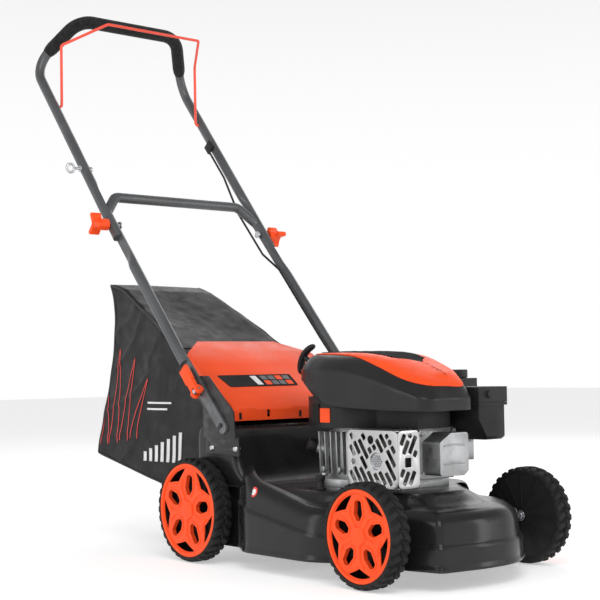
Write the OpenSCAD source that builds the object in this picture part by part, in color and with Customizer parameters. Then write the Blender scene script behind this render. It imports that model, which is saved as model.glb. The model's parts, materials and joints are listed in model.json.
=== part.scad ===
// Walk-behind petrol lawn mower with rear grass bag and folding handle.
// Millimetres, +Z up, front of the mower towards -Y, operator's left towards +X,
// ground at z = 0, origin under the middle of the whole machine.

/* [Wheels] */
// Outer radius of a front wheel
front_wheel_r = 89; // [86:1:92]
// Outer radius of a rear wheel
rear_wheel_r = 99; // [96:1:101]
// Distance between the front and rear axles
wheelbase = 482; // [478:1:490]
// Width of every wheel
wheel_w = 39; // [36:1:40]
// Distance from the middle to the outer face of a front wheel
front_face_x = 225; // [225:1:228]
// Distance from the middle to the outer face of a rear wheel
rear_face_x = 230; // [230:1:233]
// Diameter of both axle rods
axle_d = 12; // [10:0.5:12]

/* [Deck] */
// Height of the deck's lower edge above the ground
deck_edge_z = 32; // [30:1:36]
// Height of the engine plateau
plateau_z = 150; // [149:0.5:151]
// Thickness of the pressed deck
deck_wall = 3; // [2.5:0.25:3.5]
// Radius of the blade chamber
chamber_r = 203; // [202:0.5:204]
// Height of the discharge tunnel's roof
tunnel_top_z = 260; // [256:1:261]

/* [Engine] */
// Distance of the crankshaft behind the front axle
crank_back = 212; // [211:0.5:213]
// Diameter of the crankshaft
crank_d = 25; // [22:0.5:26]
// Tip radius of the cutting blade
blade_r = 198; // [190:1:199]
// Bore of the cylinder
cylinder_d = 62; // [56:1:64]

/* [Handle] */
// Outer diameter of the handle tubes
tube_d = 22; // [20:0.5:22]
// Wall of the handle tubes
tube_wall = 1.5; // [1.2:0.1:2]
// Outer diameter of the foam grip
grip_d = 30; // [28:0.5:32]
// Diameter of the operator-presence bail wire
bail_d = 6.5; // [6:0.25:7]
// Clearance between a pin and its hole, on the radius
running = 0.05; // [0.02:0.01:0.1]

/* [Hidden] */
$fn = 48;

// Place of the front axle along Y, so that the machine's box is centred on the origin.
front_y = -486.5;
black = "#2b2b2d";
deck_black = "#232324";
orange = "#f4532c";
graphite = "#5c5e60";
alloy = "#bcbec0";
zinc = "#c9cbcd";
steel = "#8d9094";
axle_r = axle_d / 2;
wall = deck_wall;
crank = [0, crank_back];

// Lower handle: pivot bolt, hooked end, upper joint and cross bar, as [y, z].
lower_pivot = [466, 326];
hook_end = [399, 258];
stop_pin = [403, 262];
lower_bend = [528, 391];
joint = [781, 678];
cross_bar = [831, 745];
lower_x = 203;
cross_x = 166;
// Upper handle: bend, top bar and lower end, as [y, z].
upper_bend = [1112, 1079];
top_bar = [1029, 1181];
upper_end = [757, 649];
upper_x = 205;
top_x = 135;
joint_plane_x = 203.3;
plate_in_x = 199;
plate_out_x = 204;
// Bail: pivot, corner and bar, as [y, z].
bail_pivot = [1022, 970];
bail_corner = [1023, 1114];
bail_bar = [920, 1151];
bail_x = 186;
bail_bar_x = 125;
// Flap hinge line, as [y, z].
flap_hinge = [424, 282];
flap_rod_r = 3;
guide_at = [891, 811];
clip_at = [972, 910];
bracket_x = 190.2;
guard_x = [-125, -72];
guard_y = [4, 134];
guard_z = [158, 258];
starter_exit = [-21, 334, 369];
starter_dir = [-0.237, 0.775, 0.585];
grip_bar_dir = [0.1, -0.58, 0.808];

// ---------- helpers ----------
function unit(v) = v / norm(v);
function at_x(x, yz) = [x, yz[0], yz[1]];
function arc(c, r, from, to, n) = [for (i = [0:n]) let (a = from + (to - from) * i / n)
    [c[0] + r * cos(a), c[1] + r * sin(a)]];
// Points of one rounded corner b between its neighbours a and c.
function fillet(a, b, c, r, n = 6) =
    let (u = unit(a - b), v = unit(c - b), half = acos(u * v) / 2, reach = r / tan(half),
         centre = b + unit(u + v) * r / sin(half), start = b + u * reach - centre,
         turn = 180 - 2 * half, side = (u[0] * v[1] - u[1] * v[0]) > 0 ? -1 : 1)
    [for (i = [0:n]) let (t = side * turn * i / n)
        centre + [start[0] * cos(t) - start[1] * sin(t), start[0] * sin(t) + start[1] * cos(t)]];
function rounded(pts, r) = [for (i = [0:len(pts) - 1])
    each fillet(pts[(i + len(pts) - 1) % len(pts)], pts[i], pts[(i + 1) % len(pts)], r)];

module on_chassis() {
    translate([0, front_y, 0]) children();
}

// Turns +Z onto the direction d.
module aim(d) {
    rotate([0, acos(d[2] / norm(d)), atan2(d[1], d[0])]) children();
}

module rod(a, b, r) {
    translate(a) aim(b - a) cylinder(r = r, h = norm(b - a));
}

// Points of a route with an arc of radius bend at each inner corner.
function corner_arc(a, b, c, bend, n) =
    let (u = unit(a - b), v = unit(c - b), half = acos(u * v) / 2, reach = bend / tan(half),
         centre = b + unit(u + v) * bend / sin(half), turn = 180 - 2 * half,
         from = b + u * reach - centre, to = b + v * reach - centre)
    [for (i = [0:n]) centre + (from * sin(turn * (1 - i / n)) + to * sin(turn * i / n)) / sin(turn)];
function route(pts, bend, n) = [pts[0],
    for (i = [1:len(pts) - 2]) each corner_arc(pts[i - 1], pts[i], pts[i + 1], bend, n),
    pts[len(pts) - 1]];
function ring_at(c, way, r, sides) =
    let (u = unit(cross(way, abs(way[0]) > 0.9 ? [0, 0, 1] : [1, 0, 0])), v = cross(way, u))
    [for (k = [0:sides - 1]) let (a = 360 * (k + 0.5) / sides) c + r * (u * cos(a) + v * sin(a))];

// Round bar of one piece along a list of points, bent at each inner one.
module pipe(pts, r, bend, sides = 16, n = 6) {
    line = route(pts, bend, n);
    last = len(line) - 1;
    ways = [for (i = [0:last - 1]) unit(line[i + 1] - line[i])];
    faces_way = [for (i = [1:last]) i == last ? ways[last - 1] : unit(ways[i - 1] + ways[i])];
    rings = [for (i = 0, ring = ring_at(line[0], ways[0], r, sides); i <= last;
        ring = i < last ? [for (p = ring) p + ways[i] * ((line[i + 1] - p) * faces_way[i])
            / (ways[i] * faces_way[i])] : ring, i = i + 1) ring];
    skin = [for (i = [0:last - 1], k = [0:sides - 1]) let (m = (k + 1) % sides)
        [i * sides + k, (i + 1) * sides + k, (i + 1) * sides + m, i * sides + m]];
    polyhedron([for (ring = rings) each ring], concat([[for (k = [0:sides - 1]) k]], skin,
        [[for (k = [sides - 1:-1:0]) last * sides + k]]));
}

// Extrudes an outline given as [y, z] points along X, from x = from to x = to.
module along_x(from, to) {
    translate([from, 0, 0]) rotate([90, 0, 90]) linear_extrude(to - from) children();
}

module bar_x(yz, r, from, to) {
    translate([from, yz[0], yz[1]]) rotate([0, 90, 0]) cylinder(r = r, h = to - from);
}

module both_sides() {
    children();
    mirror([1, 0, 0]) children();
}

// ---------- deck ----------
// Plan of the deck, drawn in by d all round and by nose more at the front.
function deck_plan(d, nose) = rounded([
    [-178 + d, 505 - d], [-178 + d, 385], [-214 + d, 325], [-214 + d, 130], [-165 + d, 72],
    [-165 + d, -50 + d + nose], [-148 + d, -118 + d + nose], [-60, -133 + d + nose],
    [25, -131 + d + nose], [95 - d, -84 + d + nose], [152 - d, -24 + d + nose],
    [152 - d, 60], [172 - d, 80], [214 - d, 130], [214 - d, 325], [178 - d, 385], [178 - d, 505 - d]], 14);

module deck_level(z, d, nose) {
    translate([0, 0, z]) linear_extrude(0.1) polygon(deck_plan(d, nose));
}

// Body of the deck, drawn in by d; the inside uses the same form.
module deck_dome(d, low) {
    translate([0, 0, low]) linear_extrude(92 - low) polygon(deck_plan(d, 0));
    hull() {
        deck_level(91.9, d, 0);
        deck_level(120 - d, 12 + d, 14);
    }
    hull() {
        deck_level(120 - d, 12 + d, 14);
        deck_level(plateau_z - d - 0.1, 34 + d, 62);
    }
}

// Room for the wheels at both sides, drawn in by d.
module wheel_wells(d) {
    translate([0, 0, -5]) linear_extrude(200) {
        polygon([[-300, -200], [-165 + d, -200], [-165 + d, 72], [-214 + d, 130], [-300, 130]]);
        polygon([[300, -200], [152 - d, -200], [152 - d, 60], [172 - d, 80], [214 - d, 130], [300, 130]]);
        for (s = [-1, 1]) polygon([[s * 300, 325], [s * (214 - d), 325], [s * (178 - d), 385],
            [s * (178 - d), 600], [s * 300, 600]]);
    }
}

module tunnel(d, back) {
    hull() {
        translate([-190 + d, 350 + d, plateau_z - 4 - d]) cube([380 - 2 * d, back - 350 - d, 8]);
        translate([-190 + d, 402 + d, tunnel_top_z - d - 4]) cube([380 - 2 * d, back - 402 - d, 4]);
    }
}

module deck_shell() {
    floor_z = 126;
    color(deck_black) on_chassis() difference() {
        union() {
            difference() {
                deck_dome(0, deck_edge_z);
                wheel_wells(0);
            }
            translate([-178, 395, deck_edge_z]) cube([356, 110, plateau_z + 2 - deck_edge_z]);
            tunnel(0, 505);
        }
        difference() {
            union() {
                difference() {
                    deck_dome(wall, -1);
                    wheel_wells(wall);
                    translate([-300, 412, -2]) cube([600, 200, 400]);
                }
                translate([-178 + wall, 418, -1]) cube([356 - 2 * wall, 84, floor_z - wall + 1]);
                translate([-178 + wall, 330, floor_z]) cube([356 - 2 * wall, 200, plateau_z - floor_z]);
                tunnel(wall, 530);
            }
            // front wall of the blade chamber
            intersection() {
                translate([crank[0], crank[1], 0]) difference() {
                    cylinder(r = chamber_r + 2.5, h = plateau_z);
                    translate([0, 0, -1]) cylinder(r = chamber_r, h = plateau_z + 2);
                }
                translate([-300, -40, deck_edge_z + 4]) cube([600, 130, plateau_z]);
            }
        }
        // opening for the engine's shaft
        translate([crank[0], crank[1], 100]) cylinder(r = 55, h = 60);
        for (a = [45, 135, 225, 315]) translate([crank[0] + 84 * cos(a), crank[1] + 84 * sin(a), 140])
            cylinder(r = 4.3, h = 20);
        translate([-150, 178, 140]) cylinder(r = 6.2, h = 20);
        // upright slots that the axle rods travel in
        along_x(-200, 200) axle_slot([0, front_wheel_r], axle_r + 1);
        along_x(-200, 200) axle_slot([wheelbase, rear_wheel_r], axle_r + 1);
        for (yz = [[372, 218], [446, 218]]) bar_x(yz, 3.3, -200, 200);
        bar_x(flap_hinge, 8, -192, 192);
    }
}

// Upright slot that lets an axle rod drop by the height travel.
axle_drop = 30;
module axle_slot(yz, r) {
    for (dz = [0, -axle_drop]) translate([yz[0], yz[1] + dz]) circle(r = r);
    translate([yz[0] - r, yz[1] - axle_drop]) square([2 * r, axle_drop]);
}

module axle_plate(yz, x) {
    low = x < 0 ? x - 2 : x;
    along_x(low, low + 2) difference() {
        polygon(rounded([yz + [-18, -46], yz + [18, -46], yz + [18, 18], yz + [-18, 18]], 8));
        axle_slot(yz, axle_r + 0.4);
        for (s = [-1, 1]) translate(yz + [s * 12, -40]) circle(r = 2.6);
    }
}

module axle_plates() {
    color(zinc) on_chassis() {
        axle_plate([0, front_wheel_r], -165.2);
        axle_plate([0, front_wheel_r], 152.2);
        axle_plate([wheelbase, rear_wheel_r], -178.2);
        axle_plate([wheelbase, rear_wheel_r], 178.2);
    }
}

module bracket_right() {
    upper_x0 = -plate_in_x + 0.4;
    along_x(-bracket_x - 3, -bracket_x) difference() {
        polygon(rounded([[360, 204], [466, 204], [466, 240], [363, 240]], 4));
        for (yz = [[372, 218], [446, 218]]) translate(yz) circle(r = 3.3);
    }
    along_x(upper_x0, -bracket_x) polygon([[365, 238], [466, 238], [466, 241], [366, 241]]);
    along_x(upper_x0, upper_x0 + 3) difference() {
        polygon([[366, 240], [466, 240], [467, 296], [486, 316], [488, 346], [476, 356],
            [450, 356], [371, 288]]);
        translate(lower_pivot) circle(r = 4 + running);
        translate(flap_hinge) circle(r = flap_rod_r + running);
    }
    // pin that the hooked handle end bears on
    bar_x(stop_pin, 4, -plate_out_x - 3, upper_x0 + 0.1);
}

module handle_brackets() {
    color(black) on_chassis() both_sides() bracket_right();
}

module dome_bolt(r, h) {
    cylinder(r = r, h = h);
    translate([0, 0, h]) intersection() {
        cylinder(r = 2 * r, h = 1.2 * r);
        translate([0, 0, -1.2 * r]) sphere(r = 2.4 * r);
    }
}

module deck_fasteners() {
    color(zinc) on_chassis() {
        both_sides() for (yz = [[372, 218], [446, 218]]) {
            translate([-bracket_x - 3.1, yz[0], yz[1]]) rotate([0, -90, 0])
                cylinder(r1 = 6, r2 = 4, h = 3);
            bar_x(yz, 3, -bracket_x - 3.2, -183);
        }
        for (a = [45, 135, 225, 315]) translate([crank[0] + 84 * cos(a), crank[1] + 84 * sin(a), 0]) {
            translate([0, 0, 136]) cylinder(r = 4, h = 28.2);
            translate([0, 0, 164.2]) cylinder(r = 6.5, h = 6, $fn = 6);
        }
    }
}

module flap_hinge_rod() {
    color(zinc) on_chassis() bar_x(flap_hinge, flap_rod_r, -198.4, 198.4);
}

module wash_port() {
    color(black) on_chassis() translate([-150, 178, 0]) difference() {
        union() {
            translate([0, 0, 142]) cylinder(r = 6, h = 10);
            translate([0, 0, plateau_z]) cylinder(r = 10, h = 4);
            translate([0, 0, plateau_z + 4]) cylinder(r = 7, h = 14);
            translate([0, 0, plateau_z + 18]) cylinder(r = 8.5, h = 8);
        }
        translate([0, 0, 140]) cylinder(r = 3.5, h = 40);
    }
}

// ---------- axles and wheels ----------
module axle(yz, face_x) {
    color(zinc) on_chassis() {
        bar_x(yz, axle_r, -face_x + 8, face_x - 8);
        both_sides() {
            bar_x(yz, axle_r + 4, face_x - wheel_w - 4.2, face_x - wheel_w - 1.2);
            bar_x(yz, axle_r + 3.5, face_x - 12, face_x - 8);
        }
    }
}

module front_axle() {
    axle([0, front_wheel_r], front_face_x);
}

module rear_axle() {
    axle([wheelbase, rear_wheel_r], rear_face_x);
}

// Tread ring with its axis along X, centred on the wheel.
module tyre(r, cover_r) {
    half = wheel_w / 2;
    rotate([0, 90, 0]) rotate_extrude($fn = 96) polygon([
        [cover_r, -half], [r - 4, -half], [r, -half + 5], [r, -5], [r - 2.5, -4], [r - 2.5, 4],
        [r, 5], [r, half - 5], [r - 4, half], [cover_r, half]]);
}

// Plastic rim, seen from the inside of the machine at -Z before turning.
module rim(rim_r, side) {
    half = wheel_w / 2;
    hub_r = 17;
    rotate([0, side * 90, 0]) difference() {
        union() {
            translate([0, 0, -half + 1]) difference() {
                cylinder(r = rim_r, h = wheel_w - 6, $fn = 96);
                translate([0, 0, 4]) cylinder(r = rim_r - 4, h = wheel_w, $fn = 96);
            }
            translate([0, 0, -half]) cylinder(r = hub_r, h = wheel_w - 13);
            for (a = [0:30:330]) rotate([0, 0, a]) translate([hub_r - 1, -1, -half])
                cube([rim_r - hub_r - 2, 2, 8]);
        }
        translate([0, 0, -half - 1]) cylinder(r = axle_r + running, h = wheel_w + 2);
    }
}

// Snap-in cover with five windows and five edge slots.
module wheel_cover(cover_r, side) {
    half = wheel_w / 2;
    window_at = cover_r * 0.52;
    rotate([0, side * 90, 0]) translate([0, 0, half - 4.8]) difference() {
        union() {
            cylinder(r = cover_r - 0.2, h = 2.5, $fn = 96);
            difference() {
                cylinder(r = cover_r - 0.2, h = 4.8, $fn = 96);
                translate([0, 0, -1]) cylinder(r = cover_r - 7, h = 8, $fn = 96);
            }
            cylinder(r = 16, h = 3.5);
            for (a = [36:72:324]) rotate([0, 0, a]) translate([8, -7, 0]) cube([cover_r - 22, 14, 3.5]);
        }
        for (a = [0:72:288]) rotate([0, 0, a]) translate([window_at, 0, -1]) cylinder(r = 13, h = 8, $fn = 6);
        for (a = [36:72:324]) rotate([0, 0, a]) translate([cover_r * 0.83, 0, -1]) intersection() {
            translate([-30, 0, 0]) cylinder(r = 34, h = 8);
            translate([36, 0, 0]) cylinder(r = 40, h = 8);
        }
    }
}

module at_wheel(front, side) {
    face_x = front ? front_face_x : rear_face_x;
    on_chassis() translate([side * (face_x - wheel_w / 2), front ? 0 : wheelbase,
        front ? front_wheel_r : rear_wheel_r]) children();
}
front_cover_r = front_wheel_r * 0.88;
rear_cover_r = rear_wheel_r * 0.905;

module tyre_front_right() {
    color(black) at_wheel(true, -1) tyre(front_wheel_r, front_cover_r);
}

module tyre_front_left() {
    color(black) at_wheel(true, 1) tyre(front_wheel_r, front_cover_r);
}

module tyre_rear_right() {
    color(black) at_wheel(false, -1) tyre(rear_wheel_r, rear_cover_r);
}

module tyre_rear_left() {
    color(black) at_wheel(false, 1) tyre(rear_wheel_r, rear_cover_r);
}

module wheel_front_right() {
    color(black) at_wheel(true, -1) rim(front_cover_r, -1);
}

module wheel_front_left() {
    color(black) at_wheel(true, 1) rim(front_cover_r, 1);
}

module wheel_rear_right() {
    color(black) at_wheel(false, -1) rim(rear_cover_r, -1);
}

module wheel_rear_left() {
    color(black) at_wheel(false, 1) rim(rear_cover_r, 1);
}

module cover_front_right() {
    color(orange) at_wheel(true, -1) wheel_cover(front_cover_r, -1);
}

module cover_front_left() {
    color(orange) at_wheel(true, 1) wheel_cover(front_cover_r, 1);
}

module cover_rear_right() {
    color(orange) at_wheel(false, -1) wheel_cover(rear_cover_r, -1);
}

module cover_rear_left() {
    color(orange) at_wheel(false, 1) wheel_cover(rear_cover_r, 1);
}

// ---------- engine ----------
sump_top_z = 164;
case_top_z = 258;
crank_r = crank_d / 2;
cylinder_z = 211;
dip_at = [-52, 32, 45];
dip_way = [-0.8, 0.5, 0.3];
head_y = 40;

module at_crank(z = 0) {
    on_chassis() translate([crank[0], crank[1], z]) children();
}

module sump() {
    color(alloy) at_crank(plateau_z) difference() {
        union() {
            cylinder(r = 98, h = sump_top_z - plateau_z);
            translate([-60, -150, 0]) cube([120, 150, sump_top_z - plateau_z]);
            cylinder(r = 54, h = 5);
        }
        translate([0, 0, 6]) cylinder(r = 66, h = 20);
        translate([0, 0, -1]) cylinder(r = crank_r + running, h = 30);
        for (a = [45, 135, 225, 315]) rotate([0, 0, a]) translate([84, 0, -1]) cylinder(r = 4.2, h = 30);
    }
}

module crankcase() {
    bore_r = cylinder_d / 2 + running;
    color(alloy) at_crank(sump_top_z) difference() {
        union() {
            cylinder(r = 72, h = case_top_z - sump_top_z);
            translate([-44, -140, 4]) cube([88, 140, 86]);
            for (i = [0:6]) translate([-57, -138 + 9 * i, 2]) cube([114, 3, 90]);
            translate(dip_at) aim(dip_way) cylinder(r = 10, h = 40);
        }
        translate([0, 0, -1]) cylinder(r = 64, h = case_top_z - sump_top_z - 9);
        cylinder(r = crank_r + running, h = 200);
        translate([0, 0, cylinder_z - sump_top_z]) rotate([90, 0, 0]) cylinder(r = bore_r, h = 141);
        translate(dip_at) aim(dip_way) cylinder(r = 6, h = 41);
    }
}

module cylinder_head() {
    color(alloy) on_chassis() difference() {
        union() {
            translate([-46, head_y, 170]) cube([92, 31.8, 84]);
            for (i = [0:2]) translate([-56, head_y + 6 + 9 * i, 166]) cube([112, 3, 92]);
        }
        translate([0, head_y + 24, cylinder_z]) rotate([-90, 0, 0]) cylinder(r = 26, h = 20);
        translate([-60, head_y + 12, 236]) rotate([0, 90, 0]) cylinder(r = 7, h = 30);
        translate([-60, head_y + 16, 192]) rotate([0, 90, 0]) cylinder(r = 10, h = 30);
        translate([34, head_y + 16, 216]) rotate([0, 90, 0]) cylinder(r = 10, h = 30);
    }
}

module valve_cover() {
    color(alloy) on_chassis() {
        translate([-44, head_y - 6, 172]) cube([88, 5.8, 82]);
        difference() {
            translate([0, head_y - 6, 0]) rotate([90, 0, 0]) linear_extrude(44) polygon(rounded([
                [-36, 176], [-36, 234], [-8, 250], [36, 250], [36, 182], [24, 174]], 6));
            translate([-30, -6, 180]) cube([60, 41, 54]);
        }
        for (p = [[-38, 178], [-38, 248], [39, 248], [39, 178]]) translate([p[0], head_y - 6, p[1]])
            rotate([90, 0, 0]) cylinder(r = 4, h = 5, $fn = 6);
    }
}

module muffler() {
    color(steel) on_chassis() difference() {
        union() {
            translate([-116, 14, 172]) cube([38, 110, 76]);
            translate([-78.1, head_y + 16, 192]) rotate([0, 90, 0]) cylinder(r = 9.8, h = 28);
            translate([-120, 62, 208]) rotate([0, 90, 0]) cylinder(r = 13, h = 5);
        }
        translate([-121, 62, 208]) rotate([0, 90, 0]) cylinder(r = 10, h = 30);
        translate([-114, 16, 174]) cube([34, 106, 72]);
    }
}

module muffler_guard() {
    t = 1.6;
    color(alloy) on_chassis() difference() {
        along_x(guard_x[0], guard_x[1]) polygon(rounded([[guard_y[0], guard_z[0]],
            [guard_y[1], guard_z[0]], [guard_y[1] - 4, guard_z[1]], [guard_y[0], guard_z[1]]], 14));
        along_x(guard_x[0] + t, guard_x[1] + 1) polygon(rounded([[guard_y[0] + t, guard_z[0] + t],
            [guard_y[1] - t, guard_z[0] + t], [guard_y[1] - 4 - t, guard_z[1] - t],
            [guard_y[0] + t, guard_z[1] - t]], 12.4));
        bar_x([62, 208], 17, guard_x[0] - 1, guard_x[0] + 3);
        for (i = [0:5], j = [0:3]) let (y = 18 + 19 * i, z = 172 + 22 * j)
            if (norm([y - 62, z - 208]) > 27)
                translate([guard_x[0] - 1, y, z]) rotate([-32, 0, 0]) translate([0, -3, -7]) cube([4, 6, 15]);
        for (i = [0:1], j = [0:2]) translate([guard_x[0] + 14 + 16 * i, guard_y[0] - 1, 172 + 26 * j])
            rotate([0, 32, 0]) translate([-3, 0, -7]) cube([6, 4, 15]);
        translate([guard_x[0] + 36, guard_y[0] - 1, 200]) cube([11, 4, 13]);
    }
}

module spark_plug() {
    color("#d8c7a0") on_chassis() translate([-49, head_y + 12, 236]) rotate([0, -90, 0]) {
        translate([0, 0, -2]) cylinder(r = 6.8, h = 10);
        translate([0, 0, 8]) cylinder(r = 9, h = 6, $fn = 6);
        translate([0, 0, 14]) cylinder(r = 5, h = 7.4);
    }
}

module carburettor() {
    color(steel) on_chassis() difference() {
        union() {
            translate([46.2, head_y + 16, 216]) rotate([0, 90, 0]) cylinder(r = 9.8, h = 20);
            translate([66, head_y - 4, 196]) cube([34, 40, 38]);
            translate([83, head_y + 16, 178]) cylinder(r = 15, h = 18);
        }
        translate([46, head_y + 16, 216]) rotate([0, 90, 0]) cylinder(r = 6, h = 56);
    }
}

filter_x = [50, 118];
filter_y = [-24, 60];
filter_w = filter_x[1] - filter_x[0];
filter_l = filter_y[1] - filter_y[0];

module air_filter_box() {
    color(black) on_chassis() difference() {
        union() {
            intersection() {
                along_x(filter_x[0], filter_x[1])
                    polygon([[filter_y[0], 240], [filter_y[0] + 8, 234.3], [filter_y[1], 234.3],
                        [filter_y[1], 298], [filter_y[0], 298]]);
                translate([0, filter_y[1] + 1, 0]) rotate([90, 0, 0]) linear_extrude(filter_l + 2)
                    polygon([[filter_x[0], 300], [filter_x[0], 272], [filter_x[0] + 24, 234],
                        [filter_x[1], 234], [filter_x[1], 300]]);
            }
            translate([filter_x[0] - 4, filter_y[0] - 4, 296]) cube([filter_w + 8, filter_l + 8, 5]);
        }
        translate([filter_x[0] + 3, filter_y[0] + 3, 274]) cube([filter_w - 6, filter_l - 6, 60]);
        translate([90, head_y + 16, 200]) cylinder(r = 8, h = 80);
    }
}

module air_filter_cover() {
    color(black) on_chassis() {
        difference() {
            translate([filter_x[0] - 4, filter_y[0] - 4, 301.3]) cube([filter_w + 8, filter_l + 8, 28]);
            translate([filter_x[0], filter_y[0], 300]) cube([filter_w, filter_l, 26]);
        }
        translate([72, filter_y[0] - 3.9, 316]) rotate([90, 0, 0]) cylinder(r = 7, h = 6);
    }
}

shroud_r = 122;
shroud_low_z = 290;
shroud_top_z = 392;

module blower_housing() {
    color(black) at_crank(case_top_z + 0.2) difference() {
        union() {
            cylinder(r = 112, h = 56);
            translate([-64, -196, 0]) cube([82, 196, 50]);
            translate([20, -70, 0]) cube([130, 100, 3.6]);
        }
        translate([0, 0, 4]) cylinder(r = 106, h = 60);
        translate([-60, -192, 4]) cube([74, 192, 60]);
        translate([0, 0, -1]) cylinder(r = 34, h = 10);
    }
}

// Outer form of the shroud, drawn in by d: high over the fan, sloping down to the front.
module shroud_form(d) {
    low = shroud_low_z - (d > 0 ? 1 : 0);
    hull() {
        at_crank(low) cylinder(r = shroud_r - d, h = 62 - d, $fn = 64);
        on_chassis() translate([-72 + d, 110 + d, shroud_top_z - 42])
            cube([126 - 2 * d, 192 - 2 * d, 42 - d]);
    }
    hull() {
        on_chassis() translate([-98 + d, -32 + d, low]) cube([126 - 2 * d, 120, 22]);
        on_chassis() translate([-60 + d, -20 + d, low]) cube([85 - 2 * d, 100, 46]);
        on_chassis() translate([-45 + d, 4 + d, low]) cube([70 - 2 * d, 60, 62]);
        on_chassis() translate([-121 + d, 200, low]) cube([60, 24, 60 - d]);
        on_chassis() translate([-72 + d, 110 + d, shroud_top_z - 42])
            cube([126 - 2 * d, 100, 42 - d]);
    }
}

module engine_shroud() {
    color(black) difference() {
        shroud_form(0);
        shroud_form(3);
        at_crank(shroud_top_z - 20) cylinder(r = 60, h = 40);
        on_chassis() translate(starter_exit - 30 * starter_dir) aim(starter_dir) cylinder(r = 6, h = 60);
    }
    // spider and post that carry the starter pulley
    color(black) at_crank(shroud_top_z - 4) {
        for (a = [45, 135]) rotate([0, 0, a]) translate([-61, -5, 0]) cube([122, 10, 3.9]);
        translate([0, 0, -68]) cylinder(r = 6 - running, h = 69);
    }
}

module shroud_insert() {
    color(orange) on_chassis() difference() {
        intersection() {
            along_x(-66, 50) polygon([[292, 392.1], [292, 396], [112, 396], [4, 355.6], [-14, 343.6],
                [-14, 340.2], [4, 352.2], [110, 392.1]]);
            translate([0, 0, 330]) linear_extrude(80) polygon([[-66, 292], [-66, 110], [-36, -14], [20, -14],
                [48, 110], [48, 292]]);
        }
        translate([-50, 110, shroud_top_z - 1]) cube([84, 170, 8]);
    }
}

module intake_grille() {
    color(black) on_chassis() {
        difference() {
            translate([-49.5, 110.5, shroud_top_z + 0.1]) cube([83, 169, 2]);
            at_crank_local() translate([0, 0, shroud_top_z - 1]) cylinder(r = 20, h = 6);
            for (i = [0:12]) translate([-42, 116 + 12.4 * i, shroud_top_z - 1])
                if (abs(120 + 12.4 * i - crank[1]) > 26) cube([68, 7, 6]);
        }
        for (i = [0:13]) translate([-48, 112 + 12.4 * i, shroud_top_z + 2.1]) cube([80, 2.6, 3]);
    }
}

module at_crank_local() {
    translate([crank[0], crank[1], 0]) children();
}

module fuel_tank() {
    color(black) on_chassis() difference() {
        translate([76, 92, 262]) cube([98, 196, 82]);
        at_crank_local() translate([0, 0, 250]) cylinder(r = shroud_r + 1, h = 120);
        difference() {
            translate([78.5, 94.5, 264.5]) cube([93, 191, 77]);
            at_crank_local() translate([0, 0, 250]) cylinder(r = shroud_r + 3.5, h = 120);
        }
        translate([141, 116, 320]) cylinder(r = 14 + running, h = 60);
    }
}

module fuel_cap() {
    color(black) on_chassis() translate([141, 116, 0]) {
        translate([0, 0, 330]) cylinder(r = 14, h = 14.4);
        translate([0, 0, 344.4]) cylinder(r = 22, h = 16);
    }
}

module oil_dipstick() {
    color(black) at_crank(sump_top_z) translate(dip_at) aim(dip_way) {
        translate([0, 0, 40.2]) cylinder(r = 12, h = 17);
        translate([0, 0, 12]) cylinder(r = 6 - running, h = 29);
    }
}

throw = 22;
pin_r = 9;

module crankshaft() {
    color(steel) at_crank(0) {
        translate([0, 0, 98]) cylinder(r = crank_r, h = 92);
        translate([0, 0, 190]) cylinder(r = 34, h = 9);
        translate([0, -throw, 199]) cylinder(r = pin_r, h = 24);
        translate([0, 0, 223]) cylinder(r = 34, h = 9);
        translate([0, 0, 232]) cylinder(r = crank_r, h = 66);
    }
}

module connecting_rod() {
    big_y = crank[1] - throw;
    small_y = 118;
    color(alloy) on_chassis() difference() {
        union() {
            translate([0, big_y, 201]) cylinder(r = 15, h = 20);
            translate([0, small_y, 205]) cylinder(r = 11, h = 12);
            translate([-6, small_y, 206]) cube([12, big_y - small_y, 10]);
        }
        translate([0, big_y, 190]) cylinder(r = pin_r + running, h = 40);
        translate([0, small_y, 190]) cylinder(r = 6 + running, h = 40);
    }
}

module piston() {
    color(alloy) on_chassis() difference() {
        translate([0, 137, cylinder_z]) rotate([90, 0, 0]) cylinder(r = cylinder_d / 2, h = 42);
        translate([0, 140, cylinder_z]) rotate([90, 0, 0]) cylinder(r = cylinder_d / 2 - 4, h = 38);
    }
    color(steel) on_chassis() translate([0, 118, cylinder_z - 28.4]) cylinder(r = 6, h = 56.8);
}

module flywheel() {
    color(steel) at_crank(276) difference() {
        union() {
            cylinder(r = 92, h = 10);
            for (a = [0:20:340]) rotate([0, 0, a]) translate([60, -1.5, 9.8]) cube([30, 3, 18]);
            cylinder(r = 30, h = 22);
        }
        translate([0, 0, -1]) cylinder(r = crank_r, h = 40);
    }
}

module blade_adapter() {
    color(steel) at_crank(50) difference() {
        union() {
            translate([0, 0, 5.9]) cylinder(r = 22, h = 42.1);
            cylinder(r = 32, h = 6);
        }
        for (s = [-1, 1]) translate([26 * s, 0, -1]) cylinder(r = 3, h = 10);
    }
}

module blade() {
    color(steel) at_crank(46) difference() {
        union() {
            translate([-blade_r + 20, -26, 0]) cube([2 * blade_r - 40, 52, 3.8]);
            intersection() {
                translate([-blade_r, -26, 0]) cube([2 * blade_r, 52, 3.8]);
                cylinder(r = blade_r, h = 4, $fn = 96);
            }
            for (s = [0, 180]) rotate([0, 0, s]) translate([blade_r - 75, 20, 3.7]) rotate([28, 0, 0])
                cube([50, 16, 3]);
        }
        for (s = [-1, 1]) translate([26 * s, 0, -1]) cylinder(r = 3, h = 10);
    }
}

module recoil_pulley() {
    color(black) at_crank(322) difference() {
        union() {
            cylinder(r = 48, h = 3);
            cylinder(r = 40, h = 12);
            translate([0, 0, 9]) cylinder(r = 48, h = 3);
        }
        translate([0, 0, -1]) cylinder(r = 6, h = 20);
    }
}

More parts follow.
